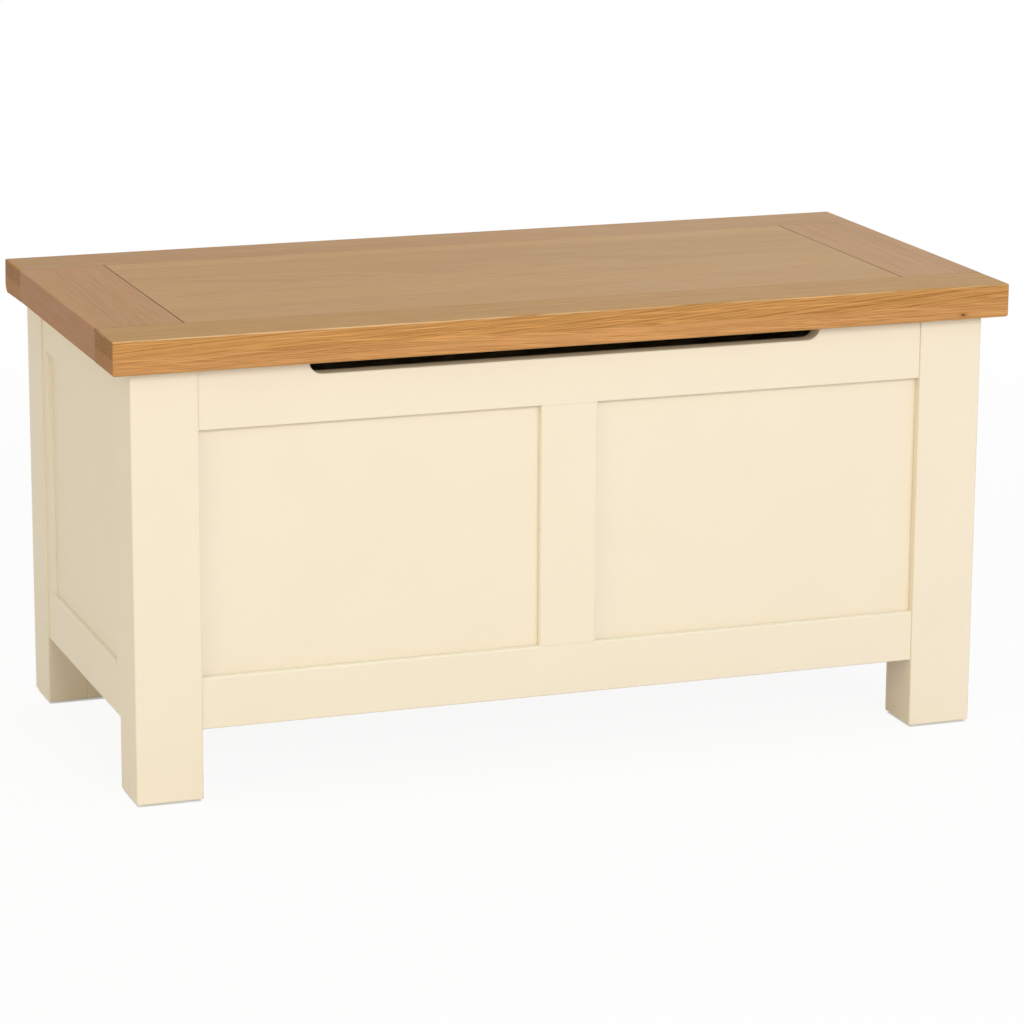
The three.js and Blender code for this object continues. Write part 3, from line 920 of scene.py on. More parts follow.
@dataclass(frozen=True)
class SoftDab(Finish):
    """Moulded plastic or pressed felt: a speckled colour with a fine uneven surface.

    Attributes:
        grit: How many specks lie in a millimetre.
    """

    name: str
    slot: Slot
    colour: Colour
    shade: Colour
    roughness: Range
    grit: float
    depth: float
    bumpiness: ClassVar[float] = 0.7

    def inputs(self, where: Place) -> dict[str, Value]:
        """Speckles the colour and the surface.

        Args:
            where: The places on the piece.

        Returns:
            What goes into the shader.
        """
        speck = Pattern(self.grit, self.grit, detail=3.0, shift=2.2).over(where)
        return {
            "Base Color": mix(speck.eased(NARROW), self.colour, self.shade),
            "Roughness": speck.eased(NARROW, self.roughness),
            "Normal": speck.relief(self.bumpiness, self.depth),
        }


BRASS = Metal("satin_brass", Slot.BRASS, (0.78, 0.61, 0.33), (0.69, 0.52, 0.26), (0.27, 0.36))
ZINC = Metal("zinc_plated_steel", Slot.STEEL, (0.62, 0.63, 0.65), (0.52, 0.53, 0.55), (0.31, 0.40))
ZINC_TURNED = Metal("zinc_screws", Slot.STEEL, (0.66, 0.66, 0.66), (0.50, 0.50, 0.51), (0.25, 0.34), Axis.Z)
BRASS_TURNED = Metal(
    "brass_screws", Slot.BRASS, (0.80, 0.63, 0.35), (0.66, 0.49, 0.24), (0.23, 0.32), Axis.Z
)
GLIDE_PLASTIC = SoftDab(
    "brown_glide_plastic", Slot.PLASTIC, (0.055, 0.040, 0.030), (0.075, 0.056, 0.042), (0.40, 0.45),
    grit=0.9, depth=0.02,
)
GREY_FELT = SoftDab("grey_felt", Slot.FELT, (0.30, 0.28, 0.25), (0.20, 0.19, 0.17), (0.92, 0.97), 2.2, 0.25)
# The first four paints carry painted light and painted shade on their narrow faces.
PAINT_X = CreamPaint("cream_paint_across", Axis.X, Axis.Y)
PAINT_Y = CreamPaint("cream_paint_deep", Axis.Y, Axis.X, ledge=(0.930, 0.882, 0.765))
PAINT_MUNTIN = CreamPaint("cream_paint_muntin", Axis.Z, Axis.Y)
PAINT_STILE = CreamPaint("cream_paint_stile", Axis.Z, Axis.X, reveal=(0.885, 0.825, 0.735))
PAINT_Z = CreamPaint("cream_paint_upright", Axis.Z)
PAINT_LAMINATED = CreamPaint("cream_paint_laminated_leg", Axis.Z, glue_line=-390.0)
FLOOR_PLY = PlainWood("birch_plywood", Axis.X, (0.66, 0.50, 0.32), (0.52, 0.36, 0.20), 9.0, 4.0, ply=1.5)
BATTEN_X = PlainWood("pine_batten_long", Axis.X, (0.66, 0.45, 0.24), (0.47, 0.28, 0.12), 4.5, 7.0)
BATTEN_Y = PlainWood("pine_batten_short", Axis.Y, (0.66, 0.45, 0.24), (0.47, 0.28, 0.12), 4.5, 9.0)


@dataclass(frozen=True)
class Flat:
    """A flat face of a board, by the direction square to it and its place."""

    axis: Axis
    place: float
    slack: ClassVar[float] = 0.02

    def holds(self, point: Vector) -> bool:
        """Whether a point, in metres, lies on the face."""
        return abs(point[self.axis.value] / MM - self.place) < self.slack


@dataclass(frozen=True)
class Span:
    """A stretch along one direction."""

    axis: Axis
    low: float
    high: float
    slack: ClassVar[float] = 0.02

    def holds(self, point: Vector) -> bool:
        """Whether a point, in metres, lies in the stretch."""
        return self.low - self.slack <= point[self.axis.value] / MM <= self.high + self.slack


@dataclass(frozen=True)
class Easing:
    """Edges that are rounded with sandpaper to one radius.

    Attributes:
        faces: The flat faces that the edges lie on.
        radius: The rounding's radius.
        span: Where the rounding starts and stops, or none where it runs right through.
        window: Where the sharp edges of a single face are looked for, such as round the finger slot.
        least_angle: How sharp the edges in the window are at least.
    """

    faces: tuple[Flat, ...]
    radius: float
    span: Span | None = None
    window: tuple[Span, ...] = ()
    least_angle: ClassVar[float] = math.radians(30.0)

    def takes(self, edge: bmesh.types.BMEdge) -> bool:
        """Tells whether an edge is one of them.

        Args:
            edge: The edge.

        Returns:
            Whether it is one.
        """
        limits = (*self.faces, *self.window, *((self.span,) if self.span else ()))
        held = all(limit.holds(vert.co) for vert in edge.verts for limit in limits)
        return held and (not self.window or edge.calc_face_angle(0.0) > self.least_angle)


def run_easings(
    run: Axis, first: Sequence[float], second: Sequence[float], radius: float, *spans: Span
) -> tuple[Easing, ...]:
    """Lists the easings of edges that run in one direction.

    Args:
        run: The direction.
        first: The faces square to the first of the two other directions.
        second: The faces square to the second one.
        radius: The radius of every edge.
        *spans: The stretches where they are rounded, or none where they run right through.

    Returns:
        One easing for each stretch of each edge.
    """
    one, two = (axis for axis in Axis if axis is not run)
    return tuple(
        Easing((Flat(one, a), Flat(two, b)), radius, span)
        for a in first
        for b in second
        for span in spans or (None,)
    )


def linked(
    shape: bmesh.types.BMesh, name: str, material: bpy.types.Material | None = None
) -> bpy.types.Object:
    """Makes an object of a shape that is already in its place.

    Args:
        shape: The shape, in metres, which is freed.
        name: The object's name.
        material: Its material, or none.

    Returns:
        The new object, at the origin.
    """
    mesh = bpy.data.meshes.new(name)
    shape.to_mesh(mesh)
    shape.free()
    if material:
        mesh.materials.append(material)
    made = bpy.data.objects.new(name, mesh)
    bpy.context.scene.collection.objects.link(made)
    return made


def node_shape(node: str) -> bmesh.types.BMesh:
    """Copies a CAD node's mesh, merges its loose triangles and joins its flat faces.

    Args:
        node: The CAD node.

    Returns:
        The copy, in metres.
    """
    shape = bmesh.new()
    shape.from_mesh(frame["nodes"][node].data)
    merge_distance, flat_angle = 0.002 * MM, math.radians(0.4)
    bmesh.ops.remove_doubles(shape, verts=shape.verts, dist=merge_distance)
    bmesh.ops.dissolve_limit(
        shape, angle_limit=flat_angle, use_dissolve_boundaries=False,
        verts=shape.verts, edges=shape.edges, delimit=set(),
    )
    return shape


def lathe(profile: Sequence[Range], steps: int) -> bmesh.types.BMesh:
    """Turns a closed shape round the Z axis.

    Args:
        profile: Radii and heights, from one end of the axis to the other.
        steps: How many flats go round.

    Returns:
        The turned shape, in metres.
    """
    shape = bmesh.new()
    points = [shape.verts.new((radius * MM, 0.0, height * MM)) for radius, height in profile]
    edges = [shape.edges.new(pair) for pair in zip(points, points[1:])]
    bmesh.ops.spin(
        shape, geom=points + edges, cent=(0.0, 0.0, 0.0), axis=UP, dvec=(0.0, 0.0, 0.0),
        angle=math.tau, steps=steps, use_merge=True, use_duplicate=False,
    )
    merge_distance, sharp_angle = 0.001 * MM, math.radians(32.0)
    bmesh.ops.remove_doubles(shape, verts=shape.verts, dist=merge_distance)
    bmesh.ops.recalc_face_normals(shape, faces=shape.faces)
    for face in shape.faces:
        face.smooth = True
    for edge in shape.edges:
        edge.smooth = edge.calc_face_angle(0.0) < sharp_angle
    return shape


@dataclass(frozen=True)
class Stand:
    """Where a turned piece's axis starts, the way it points, and how far the piece is turned round it."""

    start: Point
    facing: Point
    turn: float = 0.0

    def matrix(self) -> Matrix:
        """The move that brings a piece from the Z axis to its stand."""
        track = Vector(self.facing).to_track_quat("Z", "Y").to_matrix().to_4x4()
        return Matrix.Translation(Vector(self.start) * MM) @ track @ Matrix.Rotation(self.turn, 4, "Z")


@dataclass(frozen=True)
class Screw:
    """A countersunk wood screw with a cross recess, made to fit its bore.

    Attributes:
        head_depth: How deep the cone goes.
        sunk: How far the head lies below the mouth.
        rim: The bevel's width, the bevel's depth and the rim's lower end, from the head's face.
        tip: Where the point starts and where it ends, above the bottom of the hole.
        blade: The length, width and height of the recess's blades, as parts of the head's radius.
        taper: How much of a blade is left at its lower end.
    """

    finish: Finish
    head_radius: float
    head_depth: float
    shank_radius: float
    length: float
    clearance: float = 0.08
    sunk: float = 0.12
    rim: Point = (0.25, 0.18, 0.3)
    tip: Range = (3.0, 0.4)
    blade: Point = (1.1, 0.26, 1.1)
    taper: Point = (0.45, 0.6, 1.0)
    steps: int = 20

    def blank(self) -> bmesh.types.BMesh:
        """Turns the screw without its recess.

        Returns:
            The shape, with the bore's mouth at Z 0.
        """
        head, shank = self.head_radius - self.clearance, self.shank_radius - self.clearance
        bevel, bevel_end, rim_end = self.rim
        profile = [
            (0.0, -self.sunk), (head - bevel, -self.sunk), (head, -self.sunk - bevel_end),
            (head, -self.sunk - rim_end), (shank, -self.head_depth),
            (shank, self.tip[0] - self.length), (0.0, self.tip[1] - self.length),
        ]
        return lathe(profile, self.steps)

    def recess(self) -> bmesh.types.BMesh:
        """Makes the cutter of the recess: two crossed blades that narrow as they go down.

        Returns:
            The shape, with its middle at Z 0.
        """
        shape = bmesh.new()
        for turn in (0.0, math.pi / 2):
            made = bmesh.ops.create_cube(shape, size=1.0)["verts"]
            bmesh.ops.scale(shape, vec=scaled(self.blade, self.head_radius * MM), verts=made)
            bmesh.ops.scale(shape, vec=self.taper, verts=[vert for vert in made if vert.co.z < 0.0])
            bmesh.ops.rotate(shape, cent=(0.0, 0.0, 0.0), matrix=Matrix.Rotation(turn, 3, "Z"), verts=made)
        return shape

    def build(self) -> bpy.types.Mesh:
        """Cuts the recess into the turned screw.

        Returns:
            The screw's mesh.
        """
        blank, recess = linked(self.blank(), "screw_blank"), linked(self.recess(), "screw_recess")
        cut = blank.modifiers.new("recess", "BOOLEAN")
        cut.operation, cut.solver, cut.use_self, cut.object = "DIFFERENCE", "EXACT", True, recess
        made = bpy.data.meshes.new_from_object(blank.evaluated_get(bpy.context.evaluated_depsgraph_get()))
        for part in (blank, recess):
            bpy.data.objects.remove(part)
        return made


BATTEN_SCREW = Screw(ZINC_TURNED, 3.6, 2.6, 1.8, 28.0)
HINGE_SCREW = Screw(BRASS_TURNED, 2.9, 1.6, 1.4, 14.0)
STAY_SCREW = Screw(ZINC_TURNED, 3.2, 1.7, 1.5, 16.0)


@dataclass
class Assembly:
    """A sub-assembly of the chest, with the ways in which its pieces are made."""

    pieces: list[bpy.types.Object] = field(default_factory=list, init=False)
    sharp_angle: ClassVar[float] = math.radians(25.0)
    rim_angle: ClassVar[float] = math.radians(50.0)
    widest: ClassVar[float] = 2.5

    def settle(self, piece: bpy.types.Object, body: Body, slot: Slot, *nodes: str) -> None:
        """Hands a finished piece to the body that carries it.

        Args:
            piece: The piece.
            body: The body that it moves with.
            slot: Its finish in the record; not used.
            *nodes: The CAD nodes that it stands for.
        """
        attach(piece, body.value)
        if nodes:
            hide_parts(*nodes)
        log.info("%s rides on %s", piece.name, body.value)
        self.pieces.append(piece)

    def dress(self, shape: bmesh.types.BMesh, name: str, finish: Finish, node: str, **bevel: object) -> None:
        """Adds a piece that stands for a CAD node.

        Args:
            shape: The piece's shape, in its place.
            name: Its name.
            finish: Its finish.
            node: The CAD node.
            **bevel: How its edges are rounded, while its flat faces still look flat.
        """
        piece = linked(shape, name, finish.material())
        flat = {"keep_sharp": True, "weight": 100}
        steps = (("eased edges", "BEVEL", bevel), ("flat faces stay flat", "WEIGHTED_NORMAL", flat))
        for label, kind, settings in steps if bevel else ():
            modifier = piece.modifiers.new(label, kind)
            for setting, value in settings.items():
                setattr(modifier, setting, value)
        self.settle(piece, Body(frame["nodes"][node]["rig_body"]), finish.slot, node)

    def ease(
        self, node: str, finish: Finish, easings: Sequence[Easing], closed: Sequence[tuple[Flat, float]] = ()
    ) -> None:
        """Adds a board that follows its CAD node, with its edges eased.

        Args:
            node: The CAD node.
            finish: Its finish.
            easings: The edges that are rounded.
            closed: Faces that the paint joins to their neighbour, each with the place that it reaches.
        """
        shape = node_shape(node)
        for face, place in closed:
            for vert in shape.verts:
                if face.holds(vert.co):
                    vert.co[face.axis.value] = place * MM
        spans = [easing.span for easing in easings if easing.span]
        stops = {(span.axis.value, place) for span in spans for place in (span.low, span.high)}
        for number, place in sorted(stops):
            square = Vector((0.0, 0.0, 0.0))
            square[number] = 1.0
            bmesh.ops.bisect_plane(
                shape, geom=[*shape.verts, *shape.edges, *shape.faces], dist=0.001 * MM,
                plane_co=square * place * MM, plane_no=square,
            )
        weight = shape.edges.layers.float.new("bevel_weight_edge")
        for edge in shape.edges:
            edge.smooth = edge.calc_face_angle(0.0) < self.sharp_angle
            for easing in easings:
                if easing.takes(edge):
                    edge[weight] = easing.radius / self.widest
        for face in shape.faces:
            face.smooth = True
        self.dress(
            shape, "eased_" + node, finish, node,
            limit_method="WEIGHT", width=self.widest * MM, segments=4, use_clamp_overlap=False,
        )

    def fit(self, node: str, finish: Finish, rim: float) -> None:
        """Adds a metal part that follows its CAD node, with its curves smooth and its rims broken.

        Args:
            node: The CAD node.
            finish: Its metal.
            rim: The width of the broken rims.
        """
        shape = node_shape(node)
        for face in shape.faces:
            face.smooth = True
        self.dress(
            shape, "finished_" + node, finish, node,
            limit_method="ANGLE", angle_limit=self.rim_angle, width=rim * MM, segments=2,
        )

    def turn(
        self, name: str, node: str, finish: Finish, profile: Sequence[Range], steps: int, facing: Point = UP
    ) -> None:
        """Adds a turned piece, whose axis starts at one end of its CAD node.

        Args:
            name: The piece's name.
            node: The CAD node.
            finish: Its finish.
            profile: Its radii and heights.
            steps: How many flats go round.
            facing: The way from that end to the other.
        """
        low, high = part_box(node)
        way = Vector(facing)
        start = (low + high) / 2 - way * abs((high - low).dot(way)) / 2
        shape = lathe(profile, steps)
        bmesh.ops.transform(shape, matrix=Stand(tuple(start / MM), facing).matrix(), verts=shape.verts)
        self.dress(shape, name, finish, node)

    def drive(self, name: str, screw: Screw, stands: Sequence[Stand], body: Body) -> None:
        """Adds a group of screws in their bores, as one piece.

        Args:
            name: The group's name.
            screw: The kind of screw.
            stands: Where they go.
            body: The body that they move with.
        """
        one = screw.build()
        shape = bmesh.new()
        for stand in stands:
            before = len(shape.verts)
            shape.from_mesh(one)
            shape.verts.ensure_lookup_table()
            bmesh.ops.transform(shape, matrix=stand.matrix(), verts=shape.verts[before:])
        bpy.data.meshes.remove(one)
        self.settle(linked(shape, name, screw.finish.material()), body, screw.finish.slot)


@dataclass
class Carcass(Assembly):
    """The painted frame: four legs, rails, muntins, stiles and panels, over a plywood floor.

    A pair of numbers is the two faces of a board, from low to high, or from the inside out along X.
    """

    leg: Range = (365.0, 430.0)
    front_leg: Range = (-199.5, -141.5)
    rear_leg: Range = (154.5, 212.5)
    leg_height: Range = (2.0, 416.0)
    front_rail: Range = (-197.5, -179.5)
    back_rail: Range = (194.5, 212.5)
    side_rail: Range = (410.0, 428.0)
    top_rail: Range = (357.0, 416.0)
    side_top_rail: Range = (368.0, 416.0)
    bottom_rail: Range = (70.0, 120.0)
    muntin: Range = (-28.5, 28.5)
    front_stile: Range = (-141.2, -123.5)
    rear_stile: Range = (136.5, 154.2)
    side_panel: float = 423.0
    leg_radius: float = 1.8
    rail_radius: float = 2.2
    outer_radius: float = 1.2
    joint_gap: float = 0.3
    joint_line: float = 0.45
    paint_film: float = 0.05
    slot_end: float = 258.0
    slot_floor: float = 403.0
    slot_margin: Range = (1.0, 0.5)
    slot_radius: float = 1.4
    glide: tuple[Range, ...] = (
        (0.0, 1.7), (11.6, 1.7), (12.0, 1.4), (11.7, 0.765), (8.64, 0.0), (3.0, 0.0), (2.4, 0.5), (0.0, 0.5),
    )
    bumper: tuple[Range, ...] = ((0.0, 0.6), (4.75, 0.6), (4.98, 0.4), (4.98, 0.0), (0.0, 0.0))
    screw_height: float = 87.7
    long_batten_screws: tuple[float, ...] = (-272.0, 0.0, 272.0)
    short_batten_screws: Range = (-79.6, 92.6)
    long_battens: Range = (-163.5, 178.5)
    short_battens: float = 394.0
    long_batten_turns: Range = (0.4, 0.9)
    short_batten_turn: float = 1.3

    def board(
        self,
        node: str,
        finish: Finish,
        easings: tuple[Easing, ...],
        stretch: Span,
        facing: Axis,
        faces: Range,
        filled: tuple[tuple[Flat, float], ...] = (),
    ) -> None:
        """Adds a board that butts against a neighbour at either end.

        Args:
            node: The CAD node.
            finish: Its paint.
            easings: The edges that are rounded.
            stretch: The stretch between the neighbours, which the paint closes.
            facing: The direction of the two faces where the joints show as fine lines.
            faces: Their places.
            filled: Other faces that the paint joins to a neighbour, each with the place that it reaches.
        """
        ends = (stretch.low, stretch.high)
        gaps = (self.joint_gap, -self.joint_gap)
        shoulders = tuple((Flat(stretch.axis, end + gap), end) for end, gap in zip(ends, gaps))
        lines = tuple(
            Easing((Flat(facing, face), Flat(stretch.axis, end)), self.joint_line)
            for face in faces
            for end in ends
        )
        self.ease(node, finish, easings + lines, filled + shoulders)

    def legs(self) -> None:
        """Builds the four legs, eased on every long edge and round the foot."""
        foot = self.leg_height[:1]
        for side in Side:
            x = side.of(self.leg)
            for end, y in (("front", self.front_leg), ("rear", self.rear_leg)):
                finish = PAINT_LAMINATED if (side, end) == (Side.LEFT, "rear") else PAINT_Z
                easings = run_easings(Axis.Z, x, y, self.leg_radius)
                easings += run_easings(Axis.X, y, foot, self.leg_radius)
                easings += run_easings(Axis.Y, x, foot, self.leg_radius)
                self.ease(f"{end}_{side.word}_leg", finish, easings)

    def slot_rim(self, faces: Range) -> tuple[Easing, ...]:
        """Lists the easings of the finger slot's rim, on both faces of its rail.

        Args:
            faces: The places of the two faces.

        Returns:
            One easing for each face.
        """
        end, more = self.slot_end + self.slot_margin[0], self.slot_margin[1]
        upright = Span(Axis.Z, self.slot_floor - more, self.top_rail[1] + more)
        window = (Span(Axis.X, -end, end), upright)
        return tuple(Easing((Flat(Axis.Y, face),), self.slot_radius, window=window) for face in faces)

    def long_rails(self) -> None:
        """Builds the front and back rails and the muntins between them."""
        (left, right), leg = self.muntin, self.leg[0]
        beside_muntin = (Span(Axis.X, -leg, left), Span(Axis.X, right, leg))
        between_legs = Span(Axis.X, -leg, leg)
        between_rails = Span(Axis.Z, self.bottom_rail[1], self.top_rail[0])
        rails = (("top_rail", self.top_rail), ("bottom_rail", self.bottom_rail[::-1]))
        for end, y in (("front", self.front_rail), ("back", self.back_rail)):
            for node, (inner, outer) in rails:
                easings = run_easings(Axis.X, y, (inner,), self.rail_radius, *beside_muntin)
                if (end, node) == ("front", "top_rail"):
                    easings += self.slot_rim(y)
                else:
                    easings += run_easings(Axis.X, y, (outer,), self.outer_radius)
                self.board(f"{end}_{node}", PAINT_X, easings, between_legs, Axis.Y, y)
            easings = run_easings(Axis.Z, self.muntin, y, self.rail_radius)
            self.board(f"{end}_muntin", PAINT_MUNTIN, easings, between_rails, Axis.Y, y)

    def side_frames(self) -> None:
        """Builds the rails and the narrow stiles of both sides."""
        between_legs = Span(Axis.Y, self.front_leg[1], self.rear_leg[0])
        between_stiles = Span(Axis.Y, self.front_stile[1], self.rear_stile[0])
        between_rails = Span(Axis.Z, self.bottom_rail[1], self.side_top_rail[0])
        for side in Side:
            x = side.of(self.side_rail)
            cheek = side.value * (self.side_panel + self.joint_gap)
            seated = side.value * (self.side_panel + self.paint_film)
            groove = ((Flat(Axis.X, cheek), seated),)
            for node, (inner, outer), filled in (
                ("top_rail", self.side_top_rail, ()),
                ("bottom_rail", self.bottom_rail[::-1], groove),
            ):
                easings = run_easings(Axis.Y, x, (inner,), self.rail_radius, between_stiles)
                easings += run_easings(Axis.Y, x, (outer,), self.outer_radius)
                self.board(f"{side.word}_{node}", PAINT_Y, easings, between_legs, Axis.X, x, filled)
            for end, (flank, inner), leg in (
                ("front", self.front_stile, self.front_leg[1]),
                ("rear", self.rear_stile[::-1], self.rear_leg[0]),
            ):
                easings = run_easings(Axis.Z, x, (inner,), self.rail_radius)
                filled = (*groove, (Flat(Axis.Y, flank), leg))
                node = f"{side.word}_{end}_stile"
                self.board(node, PAINT_STILE, easings, between_rails, Axis.X, x, filled)

    def panels(self) -> None:
        """Paints the flat panels and leaves the floor and its battens bare."""
        painted = [f"{end}{side.word}_panel" for end in ("", "front_", "back_") for side in Side]
        finishes: dict[str, Finish] = dict.fromkeys(painted, PAINT_Z)
        finishes["floor_panel"] = FLOOR_PLY
        finishes |= {f"floor_{end}_batten": BATTEN_X for end in ("front", "back")}
        finishes |= {f"floor_{side.word}_batten": BATTEN_Y for side in Side}
        for node, finish in finishes.items():
            mesh = frame["nodes"][node].data
            mesh.materials.clear()
            mesh.materials.append(finish.material())
            log.info("%s keeps its shape as %s", node, finish.name)

    def small_parts(self) -> None:
        """Turns the domed glides under the feet, and the felt discs that the lid closes on."""
        for side in Side:
            for node in (f"front_{side.word}_glide", f"rear_{side.word}_glide"):
                self.turn("turned_" + node, node, GLIDE_PLASTIC, self.glide, steps=40)
        for side in Side:
            node = f"{side.word}_lid_bumper"
            self.turn("felt_" + node, node, GREY_FELT, self.bumper, steps=32)

    def batten_screws(self) -> None:
        """Drives the screws that hold the floor's battens, each turned as the hand left it."""
        stands = []
        for count, x in enumerate(self.long_batten_screws):
            for y, inwards, turn in zip(self.long_battens, (1.0, -1.0), self.long_batten_turns):
                stands.append(Stand((x, y, self.screw_height), (0.0, inwards, 0.0), turn + count))
        for side in Side:
            for count, y in enumerate(self.short_batten_screws):
                start = (side.value * self.short_battens, y, self.screw_height)
                stands.append(Stand(start, (-side.value, 0.0, 0.0), self.short_batten_turn * count))
        self.drive("batten_screws", BATTEN_SCREW, stands, Body.CHEST)

    def build(self) -> None:
        """Builds and dresses the whole carcass."""
        self.legs()
        self.long_rails()
        self.side_frames()
        self.panels()
        self.small_parts()
        self.batten_screws()


@dataclass
class Lid(Assembly):
    """The oak lid: two long rails, two cross rails between them, and a panel of glued staves.

    Attributes:
        long_joint: Where the gaps beside the long rails have their middle.
        cross_joint: Where those between the cross rails and the panel have it.
    """

    long_joint: ClassVar[float] = 152.4
    cross_joint: ClassVar[float] = 364.85
    end: float = 450.0
    edge: float = 217.5
    underside: float = 417.0
    top: float = 450.0
    long_rail: float = 152.5
    cross_rail: float = 365.0
    panel_end: float = 364.7
    panel_side: float = 152.2
    top_radius: float = 1.8
    bottom_radius: float = 3.0
    joint_radius: float = 0.5
    hairline: float = 0.22
    front: Oak = Oak(
        "oak_front_rail", Axis.X, heart=(-257.0, 378.0), tilt=(0.004, -0.066), ring=2.0, seed=1.4,
        light=(0.530, 0.295, 0.086), dark=(0.294, 0.130, 0.0250), ring_amount=0.66, band_amount=0.17,
        fibre_amount=0.22, pale_amount=0.8, deepest=0.64, quiver=0.42, gloss=0.11, calm=0.45,
        # Painted shade, with a slight tint, on the front and back faces, and painted shade on the faces that
        # look down.
        end_tint=(0.650, 0.630, 0.93), flank_tint=(1.033, 0.930, 1.000), under_tint=(0.885, 0.93, 0.917),
        layer=SecondLayer(
            shift=(310.0, 150.0, -215.0), lean=0.050, tint=(1.045, 1.044, 1.197), calm=0.22, end_lift=1.18
        ),
        seams=(Seam(Axis.Y, -long_joint, 0.7, 0.4), Seam(Axis.Z, 433.0, 0.35, 0.2)),
        # Painted highlight along the top front edge, then a pin knot.
        wear=Wear(-217.5, 450.0), knot=Knot((401.0, -217.5, 422.0), 1.3),
    )
    back: Oak = Oak(
        "oak_back_rail", Axis.X, heart=(260.0, 330.0), tilt=(0.014, 0.01), ring=2.9, seed=3.7,
        light=(0.474, 0.258, 0.089), dark=(0.330, 0.156, 0.040), ring_amount=0.25, band_amount=0.2,
        gloss=0.16, layer=SecondLayer(end_lift=1.22), seams=(Seam(Axis.Y, long_joint, 0.6, 0.25),),
    )
    middle: Oak = Oak(
        "oak_panel", Axis.X, heart=(40.0, 250.0), tilt=(0.02, 0.02), ring=3.0, seed=6.1,
        light=(0.525, 0.297, 0.096), dark=(0.385, 0.193, 0.048), ring_amount=0.24, band_amount=0.20,
        pore_amount=0.28, stave=76.0, gloss=0.18,
        seams=(
            *(Seam(Axis.X, place, 1.1, 0.75) for place in (-cross_joint, cross_joint)),
            *(Seam(Axis.Y, place, 0.6, 0.25) for place in (-long_joint, long_joint)),
        ),
    )

    def long_rails(self) -> None:
        """Builds the front and back rails, which run the lid's whole length."""
        x, top, under = (-self.end, self.end), (self.top,), (self.underside,)
        for word, finish, sign in (("front", self.front, -1.0), ("back", self.back, 1.0)):
            outer, inner = (sign * self.edge,), (sign * self.long_rail,)
            easings = run_easings(Axis.Y, x, top, self.top_radius)
            easings += run_easings(Axis.X, outer, top, self.top_radius)
            easings += run_easings(Axis.Y, x, under, self.bottom_radius)
            easings += run_easings(Axis.Z, x, outer, self.top_radius)
            if word == "front":
                easings += run_easings(Axis.X, outer, under, self.bottom_radius)
            easings += run_easings(Axis.X, inner, top + under, self.hairline)
            self.ease(f"lid_{word}_rail", finish, easings)

    def cross_rails(self) -> None:
        """Builds the two cross rails, whose grain runs from front to back."""
        ends, top = (-self.panel_side, self.panel_side), (self.top,)
        for side, heart, seed, light, dark in (
            (Side.LEFT, (-330.0, 330.0), 5.2, (0.468, 0.234, 0.074), (0.340, 0.150, 0.037)),
            (Side.RIGHT, (470.0, 350.0), 8.9, (0.484, 0.257, 0.090), (0.353, 0.166, 0.046)),
        ):
            outer, inner = (side.value * self.end,), (side.value * self.cross_rail,)
            finish = Oak(
                f"oak_{side.word}_cross_rail", Axis.Y, heart, tilt=(0.03, 0.015), ring=3.1, seed=seed,
                light=light, dark=dark, ring_amount=0.14, band_amount=0.22, pore_amount=0.22, gloss=0.17,
                # Painted shade on the faces that look left and right.
                flank_tint=(0.785, 0.69, 0.64),
                seams=(
                    Seam(Axis.X, side.value * self.cross_joint, 1.1, 0.75),
                    Seam(Axis.Y, -self.long_joint, 0.7, 0.4),
                    Seam(Axis.Y, self.long_joint, 0.6, 0.3),
                ),
            )
            easings = run_easings(Axis.Y, outer, top, self.top_radius)
            easings += run_easings(Axis.Y, outer, (self.underside,), self.bottom_radius)
            easings += run_easings(Axis.Y, inner, top, self.joint_radius)
            easings += run_easings(Axis.X, ends, top, self.hairline)
            self.ease(f"lid_{side.word}_rail", finish, easings)

    def panel(self) -> None:
        """Builds the panel of glued staves."""
        easings = run_easings(Axis.Y, (-self.panel_end, self.panel_end), (self.top,), self.joint_radius)
        easings += run_easings(Axis.X, (-self.panel_side, self.panel_side), (self.top,), self.hairline)
        self.ease("lid_panel", self.middle, easings)

    def build(self) -> None:
        """Builds and dresses the whole lid."""
        self.long_rails()
        self.cross_rails()
        self.panel()


@dataclass
class Hinges(Assembly):
    """The two brass butt hinges at the back, with their screws."""

    centre: float = 290.0
    rim: float = 0.2
    screw_spacing: float = 21.6
    screw_y: float = 204.15
    screw_turn: float = 0.7
    body_leaf_top: float = 416.0
    lid_leaf_under: float = 417.0

    def leaves(self) -> None:
        """Finishes the leaves and their pins."""
        for side in Side:
            for node in ("hinge_body_leaf", "hinge_lid_leaf", "hinge_pin"):
                self.fit(f"{side.word}_{node}", BRASS, self.rim)

    def screws(self) -> None:
        """Drives three screws through each leaf."""
        for name, height, facing, body in (
            ("hinge_body_screws", self.body_leaf_top, UP, Body.CHEST),
            ("hinge_lid_screws", self.lid_leaf_under, DOWN, Body.LID),
        ):
            stands = []
            for side in Side:
                for step in (-1, 0, 1):
                    x = side.value * self.centre + step * self.screw_spacing
                    stands.append(Stand((x, self.screw_y, height), facing, self.screw_turn * step))
            self.drive(name, HINGE_SCREW, stands, body)

    def build(self) -> None:
        """Builds and dresses both hinges."""
        self.leaves()
        self.screws()


